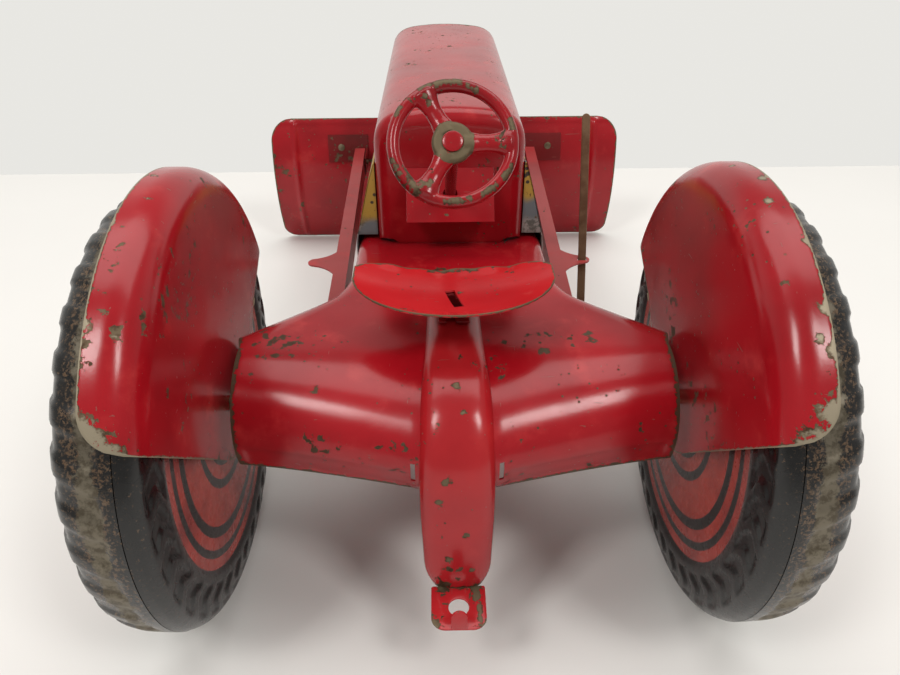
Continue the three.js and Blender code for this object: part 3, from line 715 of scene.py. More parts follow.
def rgba(colour: object) -> object:
    """Gives a plain colour its alpha and leaves a socket as it is."""
    return (*colour, 1.0) if isinstance(colour, tuple) else colour


@dataclass(frozen=True)
class OldEnamel:
    """Red baked enamel, chipped and rubbed through to dull brown steel."""

    name: str = "old_red_enamel"
    red: Point = (0.360, 0.006, 0.012)
    deep: Point = (0.260, 0.004, 0.008)
    faded: Point = (0.420, 0.020, 0.022)
    metal: Point = (0.130, 0.095, 0.055)
    scoured: Point = (0.155, 0.120, 0.070)
    rust: Point = (0.060, 0.030, 0.014)
    gloss: float = 0.19
    chips: float = 0.0

    def make(self) -> bpy.types.Material:
        """Builds the finish.

        Returns:
            The material.
        """
        board = Board(self.name)
        cloud = board.noise(22.0, 4.0)
        paint = board.blend(board.band(cloud, 0.35, 0.7), self.red, self.deep)
        paint = board.blend(board.band(board.noise(60.0, 5.0, 0.6), 0.55, 0.75), paint, self.faded)
        ragged = board.sum("SUBTRACT", board.noise(420.0, 5.0, 0.65), 0.5)
        rubbed = board.sum("ADD", board.worn(), board.sum("MULTIPLY", ragged, 1.9))
        rubbed = board.band(rubbed, 0.56, 0.62)
        patches = board.sum("MULTIPLY", board.noise(38.0, 2.0), board.noise(240.0, 4.0, 0.6))
        chipped = board.band(patches, 0.375 - self.chips, 0.385 - self.chips)
        flecks = board.sum("MULTIPLY", board.band(board.cells(330.0), 0.17, 0.12),
                           board.band(board.noise(45.0, 2.0), 0.55, 0.62))
        long_way = board.laid((55.0, 900.0, 700.0), (18.0, 0.0, 37.0))
        scratched = board.band(board.noise(1.0, 2.0, 0.5, long_way), 0.735, 0.75)
        cross_way = board.laid((800.0, 60.0, 500.0), (0.0, 25.0, -20.0))
        across = board.band(board.noise(1.0, 2.0, 0.5, cross_way), 0.75, 0.765)
        scratched = board.sum("MAXIMUM", scratched, across)
        bare = board.sum("MAXIMUM", rubbed, board.sum("MAXIMUM", chipped, flecks))
        metal = board.blend(board.band(board.noise(300.0, 4.0, 0.7), 0.4, 0.65), self.metal, self.rust)
        scoured = board.sum("ADD", board.worn(), board.sum("MULTIPLY", ragged, 0.8))
        metal = board.blend(board.band(scoured, 0.62, 0.8), metal, self.scoured)
        colour = board.blend(scratched, paint, (0.23, 0.05, 0.04))
        board.set("Base Color", board.blend(bare, colour, metal))
        haze = board.level(board.noise(120.0, 5.0, 0.6), self.gloss - 0.05, self.gloss + 0.10)
        rough = board.sum("MAXIMUM", haze, board.level(bare, 0.0, 0.55))
        board.set("Roughness", board.sum("MAXIMUM", rough, board.level(scratched, 0.0, 0.5)))
        board.set("Metallic", board.level(bare, 0.0, 0.55))
        board.set("Coat Weight", board.level(bare, 0.08, 0.0))
        board.set("Coat Roughness", 0.12)
        board.set("Specular IOR Level", 0.36)
        waves = board.relief(board.noise(34.0, 1.0), 0.5)
        peel = board.relief(board.noise(900.0, 2.0), 0.012, waves)
        board.set("Normal", board.relief(board.sum("SUBTRACT", 1.0, bare), 0.06, peel))
        return board.material


@dataclass(frozen=True)
class TarnishedSteel:
    """Bare steel gone olive-brown, with darker rust."""

    name: str = "tarnished_steel"
    steel: Point = (0.235, 0.190, 0.125)
    brown: Point = (0.100, 0.068, 0.036)
    rust: Point = (0.110, 0.045, 0.018)
    metallic: float = 0.75

    def make(self) -> bpy.types.Material:
        """Builds the finish.

        Returns:
            The material.
        """
        board = Board(self.name)
        tone = board.blend(board.band(board.noise(90.0, 5.0, 0.65), 0.38, 0.68), self.steel, self.brown)
        spots = board.band(board.noise(500.0, 5.0, 0.7), 0.6, 0.7)
        board.set("Base Color", board.blend(spots, tone, self.rust))
        rough = board.level(board.noise(260.0, 4.0), 0.34, 0.6)
        board.set("Roughness", board.sum("MAXIMUM", rough, board.level(spots, 0.0, 0.75)))
        board.set("Metallic", board.level(spots, self.metallic, 0.2))
        board.set("Normal", board.relief(board.noise(700.0, 5.0, 0.7), 0.03))
        return board.material


@dataclass(frozen=True)
class PrintedTyre:
    """A tin wheel printed as a black tyre round a ringed red disc, rubbed bare along the tread."""

    name: str
    axle_y: float
    axle_z: float
    radius: float
    seam: float
    disc: float
    rings: tuple[tuple[float, float], ...]
    black: Point = (0.008, 0.0075, 0.0075)
    red: Point = (0.380, 0.040, 0.028)
    bare: Point = (0.175, 0.150, 0.110)
    rust: Point = (0.120, 0.060, 0.026)

    def make(self) -> bpy.types.Material:
        """Builds the finish.

        Returns:
            The material.
        """
        board = Board(self.name)
        hub = place(0.0, self.axle_y, self.axle_z)
        spread = board.laid((0.0, 1.0, 1.0), shift=(0.0, -hub.y, -hub.z))
        length = board.tree.nodes.new("ShaderNodeVectorMath")
        length.operation = "LENGTH"
        board.feed(length.inputs[0], spread)
        radius = board.sum("MULTIPLY", length.outputs["Value"], 1000.0)
        across = board.sum("MULTIPLY", board.sum("ABSOLUTE", board.axis("X")), 1000.0)
        red = board.blend(board.band(board.noise(50.0, 4.0), 0.4, 0.7), self.red, (0.22, 0.022, 0.018))
        inked = board.band(radius, self.disc - 0.3, self.disc + 0.3)
        for middle, width in self.rings:
            off = board.sum("ABSOLUTE", board.sum("SUBTRACT", radius, middle))
            inked = board.sum("MAXIMUM", inked, board.band(off, width / 2 + 0.2, width / 2 - 0.2))
        colour = board.blend(inked, red, self.black)
        ragged = board.sum("SUBTRACT", board.noise(330.0, 6.0, 0.7), 0.5)
        broad = board.sum("SUBTRACT", board.noise(45.0, 3.0), 0.5)
        drift = board.sum("ADD", board.sum("MULTIPLY", ragged, 9.0), board.sum("MULTIPLY", broad, 7.0))
        off = board.sum("ABSOLUTE", board.sum("SUBTRACT", across, self.seam + self.radius * 0.098))
        tread = board.band(board.sum("ADD", off, drift), self.radius * 0.046, self.radius * 0.030)
        tread = board.sum("MULTIPLY", tread, board.band(radius, self.radius * 0.955, self.radius * 0.972))
        beside = board.band(off, self.radius * 0.13, self.radius * 0.05)
        specks = board.sum("ADD", board.noise(800.0, 5.0, 0.8), board.sum("MULTIPLY", beside, 0.10))
        specks = board.sum("MULTIPLY", board.band(specks, 0.60, 0.66),
                           board.band(radius, self.radius * 0.86, self.radius * 0.97))
        rubbed = board.sum("ADD", board.worn(), board.sum("MULTIPLY", ragged, 1.6))
        rubbed = board.sum("MAXIMUM", board.band(rubbed, 0.72, 0.8), board.sum("MULTIPLY", specks, 0.8))
        patchy = board.band(board.noise(260.0, 5.0, 0.7), 0.42, 0.62)
        metal = board.blend(patchy, self.bare, (0.085, 0.068, 0.045))
        rusty = board.blend(board.noise(500.0, 4.0), self.rust, (0.16, 0.11, 0.07))
        colour = board.blend(rubbed, colour, rusty)
        board.set("Base Color", board.blend(tread, colour, metal))
        board.set("Metallic", board.level(tread, 0.0, 0.65))
        rough = board.level(board.noise(180.0, 4.0), 0.18, 0.36)
        board.set("Roughness", board.sum("MAXIMUM", rough, board.level(tread, 0.0, 0.48)))
        board.set("Normal", board.relief(board.noise(600.0, 4.0, 0.6), 0.04))
        return board.material


@dataclass(frozen=True)
class PrintedEngine:
    """A printed engine side: yellow with dark dots over mottled grey, worn at its edges."""

    name: str = "printed_engine"
    yellow: Point = (0.48, 0.33, 0.06)
    grey: Point = (0.33, 0.34, 0.31)
    dark: Point = (0.045, 0.045, 0.035)

    def make(self) -> bpy.types.Material:
        """Builds the finish.

        Returns:
            The material.
        """
        board = Board(self.name)
        height = board.sum("MULTIPLY", board.axis("Z"), 1000.0)
        drift = board.sum("MULTIPLY", board.noise(80.0, 3.0), 12.0)
        upper = board.band(board.sum("ADD", height, drift), 122.0, 127.0)
        dots = board.band(board.cells(260.0), 0.30, 0.24)
        mottle = board.band(board.noise(260.0, 4.0, 0.7), 0.44, 0.56)
        lower = board.blend(mottle, self.grey, (0.12, 0.14, 0.12))
        top = board.blend(dots, self.yellow, self.dark)
        colour = board.blend(upper, lower, top)
        bands = board.noise(1.0, 1.0, 0.5, board.laid((40.0, 160.0, 30.0)))
        colour = board.blend(board.band(bands, 0.6, 0.64), colour, (0.16, 0.21, 0.22))
        rusty = board.band(board.noise(350.0, 5.0, 0.7), 0.62, 0.68)
        board.set("Base Color", board.blend(rusty, colour, (0.13, 0.075, 0.035)))
        board.set("Roughness", board.level(board.noise(200.0, 3.0), 0.3, 0.5))
        board.set("Normal", board.relief(board.noise(500.0, 3.0), 0.03))
        return board.material


@dataclass(frozen=True)
class PaleTable:
    """The pale, softly shining table top."""

    name: str = "pale_table"

    def make(self) -> bpy.types.Material:
        """Builds the finish.

        Returns:
            The material.
        """
        board = Board(self.name)
        tone = board.blend(board.noise(6.0, 3.0), (0.80, 0.785, 0.76), (0.84, 0.825, 0.80))
        board.set("Base Color", tone)
        board.set("Roughness", board.level(board.noise(40.0, 3.0), 0.38, 0.5))
        board.set("Specular IOR Level", 0.4)
        board.set("Normal", board.relief(board.noise(400.0, 2.0), 0.01))
        return board.material


@dataclass
class Paintshop:
    """Every finish, made once."""

    enamel: bpy.types.Material = field(init=False)
    housing: bpy.types.Material = field(init=False)
    drawbar: bpy.types.Material = field(init=False)
    seat_red_painted_light: bpy.types.Material = field(init=False)
    wheel_red: bpy.types.Material = field(init=False)
    scraped: bpy.types.Material = field(init=False)
    dark_red_with_painted_shade: bpy.types.Material = field(init=False)
    matte_red_with_painted_shade: bpy.types.Material = field(init=False)
    column_red: bpy.types.Material = field(init=False)
    steel: bpy.types.Material = field(init=False)
    lever: bpy.types.Material = field(init=False)
    engine: bpy.types.Material = field(init=False)
    rear_tyre: bpy.types.Material = field(init=False)
    front_tyre: bpy.types.Material = field(init=False)

    def __post_init__(self) -> None:
        """Makes the finishes."""
        self.enamel = OldEnamel(chips=-0.012).make()
        self.housing = OldEnamel("housing_red_enamel", metal=(0.085, 0.060, 0.036),
                                 scoured=(0.100, 0.072, 0.042), chips=-0.002).make()
        # The drawbar's red is brighter as painted light: it stands in for the light on its upturned top.
        self.drawbar = OldEnamel("drawbar_red_enamel", red=(0.42, 0.016, 0.020), deep=(0.33, 0.010, 0.014),
                                 metal=(0.10, 0.075, 0.045), chips=0.004).make()
        # The seat's red is brighter as painted light: it stands in for the ceiling light on the upturned
        # pan.
        self.seat_red_painted_light = OldEnamel("seat_red_enamel", red=(0.52, 0.014, 0.018), deep=(0.43, 0.010, 0.014),
                                  faded=(0.55, 0.060, 0.055), metal=(0.085, 0.060, 0.036), chips=0.0).make()
        self.wheel_red = OldEnamel("wheel_red_enamel", red=(0.34, 0.005, 0.010), deep=(0.20, 0.003, 0.006),
                                   metal=(0.11, 0.078, 0.044), scoured=(0.135, 0.102, 0.058),
                                   rust=(0.05, 0.028, 0.014), chips=0.016).make()
        self.scraped = OldEnamel("scraped_red_enamel", scoured=(0.33, 0.28, 0.20), chips=0.006).make()
        # Dark, rust-chipped red for the blade brackets: partly their own worn colour, partly painted shade
        # for the shadows on and round them.
        self.dark_red_with_painted_shade = OldEnamel("dark_red_enamel", red=(0.19, 0.008, 0.010), deep=(0.08, 0.010, 0.008),
                                  faded=(0.24, 0.02, 0.02), chips=0.03).make()
        # Matt red for both lift arms, darkened as painted shade to match the right arm, which lies in
        # shade.
        self.matte_red_with_painted_shade = OldEnamel("flat_red_enamel", red=(0.36, 0.035, 0.035), deep=(0.27, 0.02, 0.02),
                                  gloss=0.40, chips=-0.01).make()
        # A dark red that is painted shade: it darkens the steering column, which stands in shadow, and the
        # strip seen through the seat's slot.
        self.column_red = OldEnamel("column_red", red=(0.20, 0.006, 0.008), deep=(0.12, 0.004, 0.005),
                                    faded=(0.24, 0.01, 0.012)).make()
        self.steel = TarnishedSteel().make()
        self.lever = TarnishedSteel("rusty_steel", steel=(0.22, 0.130, 0.075),
                                    brown=(0.13, 0.060, 0.032)).make()
        self.engine = PrintedEngine().make()
        self.rear_tyre = PrintedTyre("rear_tyre_print", 0.0, AXLE_Z, 83.0, 97.0, 62.6,
                                     ((57.0, 3.0), (49.0, 4.0), (31.0, 3.5), (22.0, 4.0))).make()
        self.front_tyre = PrintedTyre("front_tyre_print", FRONT_AXLE_Y, FRONT_AXLE_Z, 38.0, 22.5, 25.0,
                                      ((14.0, 2.0),)).make()


def hand_over(piece: bpy.types.Object, finish: bpy.types.Material, coat: Coat, body: Body,
              *nodes: str) -> None:
    """Dresses a finished piece and puts it on its body.

    Args:
        piece: The finished piece.
        finish: Its material.
        coat: Its material slot; not used.
        body: The body that it rides on.
        nodes: The CAD nodes that it stands for.
    """
    piece.data.materials.clear()
    piece.data.materials.append(finish)
    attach(piece, body.value)
    if nodes:
        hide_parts(*nodes)
    log.info("%s: %d faces", piece.name, len(piece.data.polygons))


# ---------------------------------------------------------------------------------------------------
# Axle housing and deck


@dataclass
class AxleHousing:
    """The trumpet-shaped axle housing with the deck pressed in one with it."""

    half: float = 87.0
    tube: float = 25.0
    bottom: float = 72.0
    skirt: float = 66.0
    deck_half: float = 44.0
    deck_edge: float = 6.0
    deck_front: float = 284.0
    deck_bottom: float = 80.0
    panel_depth: float = 1.1
    top: float = 108.0

    def rear_reach(self, x: np.ndarray) -> np.ndarray:
        """Gives how far the housing reaches behind the axle."""
        inward = 1 - np.clip(np.abs(x), 14, self.half) / self.half
        return self.tube + 20.5 * inward ** 1.3

    def front_outline(self, count: int) -> tuple[np.ndarray, np.ndarray]:
        """Draws the right front edge, from the trumpet's end to the deck's front corner.

        Args:
            count: How many points run along the housing's own part.

        Returns:
            The points' [x, y, edge radius] and their outward directions [x, y].
        """
        s = np.linspace(0, 1, 400)
        span = self.half - self.deck_half
        reach = self.tube + 21 * s ** 1.1 + 17 * s ** 12
        edge = self.tube - (self.tube - self.deck_edge) * s ** 0.8
        angle = np.arctan(np.gradient(reach, s) / span)
        angle = angle + (math.pi / 2 - angle[-1]) * s ** 14
        line = np.stack([self.half - span * s, reach, edge, angle], axis=1)
        run = length_along(line[:, :2])
        at = np.linspace(0, run[-1], count)
        line = np.stack([np.interp(at, run, line[:, k]) for k in range(4)], axis=1)
        beside = np.arange(line[-1, 1], self.deck_front + 0.01, (self.deck_front - line[-1, 1]) / 75)[1:]
        square_on = np.full_like(beside, math.pi / 2)
        straight = np.stack([np.full_like(beside, self.deck_half), beside,
                             np.full_like(beside, self.deck_edge), square_on], axis=1)
        line = np.vstack([line, straight])
        out = np.stack([np.sin(line[:, 3]), np.cos(line[:, 3])], axis=1)
        return line[:, :3], out

    def edge_strip(self, line: np.ndarray, out: np.ndarray) -> np.ndarray:
        """Rolls the front edge over and drops it to the skirt.

        Args:
            line: The front edge's points and edge radii.
            out: Its outward directions.

        Returns:
            The strip's table of points.
        """
        inner = line[:, :2] - line[:, 2:] * out
        rows = []
        for turn in np.linspace(0, math.pi / 2, 9):
            place_at = inner + line[:, 2:] * math.sin(turn) * out
            rows.append(np.column_stack([place_at, self.top - line[:, 2] * (1 - math.cos(turn))]))
        low = self.skirt + (self.deck_bottom - self.skirt) * step(64, 74, line[:, 1]) * (line[:, 0] < 44.5)
        for part in np.linspace(0, 1, 7)[1:]:
            height = (self.top - line[:, 2]) * (1 - part) + low * part
            rows.append(np.column_stack([line[:, :2], height]))
        return np.stack(rows, axis=1)

    def saddle(self, columns: np.ndarray, front: np.ndarray) -> np.ndarray:
        """Lays the rear wall and the top, from the rear lower edge to the front edge.

        Args:
            columns: Where the columns stand, along X.
            front: How far forwards each column runs.

        Returns:
            The saddle's table of points.
        """
        low = math.asin((self.bottom - AXLE_Z) / self.tube)
        reach = self.rear_reach(columns)
        rows = []
        for turn in np.linspace(low, math.pi / 2, 34):
            y = -reach * math.cos(turn)
            z = np.full_like(columns, AXLE_Z + self.tube * math.sin(turn))
            sunk = step(16.5, 18.5, np.abs(columns)) * step(78.5, 76.5, np.abs(columns))
            sunk = sunk * step(72.6, 73.6, z) * step(83.0, 81.4, z)
            rows.append(np.column_stack([columns, y + sunk * self.panel_depth, z]))
        for part in np.linspace(0, 1, 19)[1:]:
            rows.append(np.column_stack([columns, front * part, np.full_like(columns, self.top)]))
        return np.stack(rows, axis=1)

    def build(self, shop: Paintshop) -> None:
        """Builds and dresses the pressing.

        Args:
            shop: The finishes.
        """
        count = 46
        line, out = self.front_outline(count)
        inner = line[:, :2] - line[:, 2:] * out
        flat = np.linspace(inner[count - 1, 0], -inner[count - 1, 0], 39)
        x = np.concatenate([inner[:count, 0], flat[1:-1], -inner[:count, 0][::-1]])
        front = np.concatenate([inner[:count, 1], np.full(37, inner[count - 1, 1]), inner[:count, 1][::-1]])
        core = (0.0, 30.0, 60.0)
        strip = self.edge_strip(line, out)
        deck = np.stack([np.stack([np.full_like(flat, y), flat], axis=1) for y in inner[count - 1:, 1]])
        level = np.full((*deck.shape[:2], 1), self.top)
        deck = np.concatenate([deck[:, :, 1:], deck[:, :, :1], level], axis=2)
        skins = [
            pressed("housing_saddle", self.saddle(x, front), core),
            pressed("housing_edge_right", strip, (0.0, 30.0, 60.0)),
            pressed("housing_edge_left", strip * np.array([-1.0, 1.0, 1.0]), (0.0, 30.0, 60.0)),
            pressed("housing_deck", deck, (0.0, 170.0, 60.0)),
        ]
        piece = joined("chassis_pressing_shape", skins)
        rims = rim_points(piece)
        thicken(piece)
        slots = [punch("block", (1.6, 20.0, 8.0), (side * 15.4, -42.0, 83.0)) for side in (-1, 1)]
        pierced(piece, *slots)
        smooth(piece, 35)
        chips = [
            (-23.0, -43.0, 97.0, 5.0), (-29.0, -41.5, 98.5, 4.0), (-14.5, -42.0, 88.0, 4.5),
            (-34.0, -37.0, 76.0, 3.5), (-19.0, -39.0, 84.0, 3.0), (33.0, -3.0, 108.0, 5.0),
            (27.0, -38.0, 90.0, 3.5), (-50.0, -20.0, 104.0, 4.0), (-74.0, -14.0, 103.0, 3.0),
            (-20.0, -41.0, 80.0, 3.5), (70.0, -28.0, 90.0, 2.5), (-60.0, -32.0, 84.0, 2.5),
        ]
        mark_wear(piece, rims, 1.9, chips)
        hand_over(piece, shop.housing, Coat.RED, Body.CHASSIS, "chassis_pressing")


@dataclass
class Drawbar:
    """The raised channel over the housing that runs down to the hitch plate."""

    line: tuple[Point, ...] = (
        (22, 112.2, 10.8), (0, 112.4, 11.1), (-14, 111.3, 11.9), (-25, 107.8, 12.6), (-35, 101.5, 13.1),
        (-43, 92, 13.4), (-47, 81, 13.4), (-49.6, 68, 13.2), (-52, 54, 12.6), (-53.6, 44, 12.0),
        (-54.2, 38.2, 9.9),
    )
    crown: float = 6.5
    depth: float = 12.0
    plate_half: float = 9.8
    plate_corner: float = 5.0
    hitch_z: float = 38.0
    hole_y: float = -62.0
    hole_radius: float = 3.65
    plate_rear: float = -71.0
    tongue_half: float = 2.85
    tongue_rise: float = 5.2

    def flange(self, path: np.ndarray, housing: AxleHousing) -> np.ndarray:
        """Gives how deep the channel's sides reach at each point of its crown line.

        Args:
            path: The crown line's points.
            housing: The housing that the channel lies on.

        Returns:
            The depth at each point, in millimetres.
        """
        turn = np.linspace(math.asin(-11 / 25), math.pi / 2, 200)
        reach = float(housing.rear_reach(np.array([14.0]))[0])
        back = np.stack([-reach * np.cos(turn), AXLE_Z + 25 * np.sin(turn)], axis=1)
        ahead = np.stack([np.linspace(0, 30, 60), np.full(60, 108.0)], axis=1)
        wall = np.vstack([back, ahead])
        gap = np.array([np.linalg.norm(wall - p[:2], axis=1).min() for p in path])
        free = step(76.0, 66.0, path[:, 1])
        deep = np.minimum(gap + 0.5, self.depth) * (1 - free) + self.depth * free
        return deep * step(36.0, 49.0, path[:, 1]) + 1.2 * (1 - step(36.0, 49.0, path[:, 1]))

    def channel(self, housing: AxleHousing) -> np.ndarray:
        """Sweeps the arched section along the crown line.

        Args:
            housing: The housing that the channel lies on.

        Returns:
            The channel's table of points.
        """
        path = faired(self.line, 84)
        along = np.gradient(path[:, :2], axis=0)
        along /= np.linalg.norm(along, axis=1)[:, None]
        out = np.stack([along[:, 1], -along[:, 0]], axis=1)
        turn = np.linspace(0, math.pi, 120)
        arch_x = np.sign(np.cos(turn)) * np.abs(np.cos(turn)) ** 0.7
        arch_h = self.crown * (np.sin(turn) ** 0.8 - 1)
        columns = []
        for place_at, lean, deep in zip(path, out, self.flange(path, housing)):
            x = np.concatenate([np.full(12, 1.0), arch_x, np.full(12, -1.0)]) * place_at[2]
            low = np.linspace(-max(deep, self.crown), -self.crown, 12)
            h = np.concatenate([low, arch_h, low[::-1]])
            keep = h >= -deep - 1e-9
            section = spaced(np.stack([x[keep], h[keep]], axis=1), 37)
            raised = place_at[:2] + section[:, 1:] * lean
            columns.append(np.column_stack([section[:, 0], raised]))
        return np.stack(columns)

    def plate(self) -> bpy.types.Object:
        """Makes the hitch plate with its hole.

        Returns:
            The plate.
        """
        bpy.ops.object.select_all(action="DESELECT")
        bpy.ops.mesh.primitive_circle_add(vertices=64, radius=1.0, fill_type="NGON")
        plate = call(bpy.context.object, "hitch_plate_part")
        rear, front, half, corner = self.plate_rear, -53.0, self.plate_half, self.plate_corner
        turn = np.linspace(0, math.pi / 2, 12)
        right = np.stack([half - corner + corner * np.sin(turn),
                          rear + corner - corner * np.cos(turn)], axis=1)
        right = np.vstack([right, [[half, front]]])
        outline = np.vstack([right, (right * [-1, 1])[::-1]])
        outline = spaced(np.vstack([outline, outline[:1]]), 65)[:64]
        for vertex, (x, y) in zip(plate.data.vertices, outline):
            vertex.co = place(x, y, self.hitch_z + SHEET / 2)
        drawn_out(plate, (0.0, 0.0, -SHEET * MM))
        size = self.hole_radius * 2
        pierced(plate, punch("round", (size, size, 4.0), (0.0, self.hole_y, self.hitch_z)))
        ease_edges(plate, 0.25, 50)
        return plate

    def tongue(self) -> bpy.types.Object:
        """Makes the tongue that stands up at the plate's rear edge.

        Returns:
            The tongue.
        """
        bpy.ops.object.select_all(action="DESELECT")
        bpy.ops.mesh.primitive_circle_add(vertices=32, radius=1.0, fill_type="NGON")
        tongue = call(bpy.context.object, "hitch_tongue_part")
        turn = np.linspace(0, math.pi, 29)
        arch = np.stack([self.tongue_half * np.cos(turn),
                         self.tongue_rise + self.tongue_half * np.sin(turn)], axis=1)
        outline = np.vstack([[[-self.tongue_half, 0.0], [0.0, -0.2], [self.tongue_half, 0.0]], arch])
        for vertex, (x, z) in zip(tongue.data.vertices, outline):
            vertex.co = place(x, self.plate_rear + SHEET + 0.02 * z * z, self.hitch_z + z)
        drawn_out(tongue, (0.0, -SHEET * MM, 0.0))
        ease_edges(tongue, 0.22, 50)
        return tongue

    def build(self, shop: Paintshop, housing: AxleHousing) -> None:
        """Builds and dresses the drawbar.

        Args:
            shop: The finishes.
            housing: The housing that it lies on.
        """
        table = self.channel(housing)
        piece = pressed("drawbar_channel_shape", table, (0.0, -20.0, 60.0))
        rims = [rim for rim in rim_points(piece) if rim.z < 0.070]
        thicken(piece)
        gathered("drawbar_channel_shape", [piece, self.plate(), self.tongue()])
        smooth(piece, 40)
        corner = self.plate_half - 1
        worn = [
            (corner, self.plate_rear + 2, 38.4, 5.0), (-corner, self.plate_rear + 2, 38.4, 6.0),
            (0.0, self.plate_rear, 46.2, 3.2), (5.0, -60.0, 38.4, 3.0), (-8.0, -66.0, 38.4, 4.5),
            (0.0, -24.0, 108.3, 3.6), (2.0, -33.0, 103.0, 2.6), (-4.0, -46.0, 84.0, 4.2),
            (-6.5, -48.0, 76.0, 3.4), (3.0, -50.0, 62.0, 3.0), (-3.0, -52.0, 52.0, 3.6),
            (5.0, -53.0, 47.0, 2.8), (-7.0, -50.0, 66.0, 2.6), (6.0, -15.0, 110.0, 3.0),
        ]
        mark_wear(piece, rims, 2.4, worn)
        # The channel takes the brighter red, which paints in the light on its top.
        hand_over(piece, shop.drawbar, Coat.RED, Body.CHASSIS, "drawbar_channel")


@dataclass
class Seat:
    """The dished seat pan with its turned slot, and the bent strip under it."""

    half: float = 37.5
    front: float = 28.0
    rear: float = -17.0
    base: float = 125.0
    rim: float = 6.5
    middle_y: float = 13.0

    def table(self) -> np.ndarray:
        """Presses the dish.

        Returns:
            The dish's table of points.
        """
        u = np.sin(np.linspace(-1, 1, 101) * math.pi / 2 * 0.96) / math.sin(math.pi / 2 * 0.96)
        across = (u * 0.994)[:, None]
        v = np.linspace(0, 1, 57)[None, :]
        x = across * self.half + 0 * v
        back = self.middle_y - (self.middle_y - self.rear) * np.sqrt(1 - across ** 2)
        front = self.front - 9 * np.abs(across) ** 8
        y = back * (1 - v) + front * v
        behind = np.minimum((y - self.middle_y) / (self.middle_y - self.rear), 0)
        dish = self.rim * np.hypot(across + 0 * v, behind) ** 2.4
        ripple = 0.5 * np.sin(x / 5.3) + 0.35 * np.sin(x / 2.1 + 1.0)
        ahead = step(0.86, 1.0, v) * ripple * step(33, 20, np.abs(x))
        return np.stack([x, y, self.base + SHEET + dish + ahead * 0.9], axis=2)

    def slot_punch(self) -> bpy.types.Object:
        """Makes the cutter for the slot through the pan and the strip's head."""
        return punch("block", (3.7, 14.5, 24.0), (0.0, 4.0, self.base - 2.0), (0.0, 0.0, 13.0))

    def build(self, shop: Paintshop) -> None:
        """Builds and dresses the seat.

        Args:
            shop: The finishes.
        """
        pan = pressed("seat_pan_shape", self.table(), (0.0, 5.0, 90.0))
        rims = rim_points(pan)
        thicken(pan, SHEET, 0.25)
        pierced(pan, self.slot_punch())
        smooth(pan, 40)
        worn = [(x, 28.0, self.base + 1, 5.0 + 0.8 * (k % 3)) for k, x in enumerate(range(-8, 10, 4))]
        worn += [(-19.0, 27.5, 126.0, 3.0), (22.0, 27.5, 126.5, 3.4), (28.0, 26.5, 127.5, 2.6),
                 (2.4, 9.5, 126.0, 2.6)]
        mark_wear(pan, rims, 1.4, worn)
        # The pan takes the brighter red, which paints in the light falling on its top.
        hand_over(pan, shop.seat_red_painted_light, Coat.RED, Body.CHASSIS, "seat_pan")
        bracket = carried_over("seat_bracket", 0.25)
        pierced(bracket, self.slot_punch())
        smooth(bracket)
        flatten(bracket)
        mark_wear(bracket, [], 1.0)
        # The strip is dark red as painted shade, so the slot above it reads dark.
        hand_over(bracket, shop.column_red, Coat.RED, Body.CHASSIS, "seat_bracket")


# ---------------------------------------------------------------------------------------------------
# Hood, dash, grille and engine sides


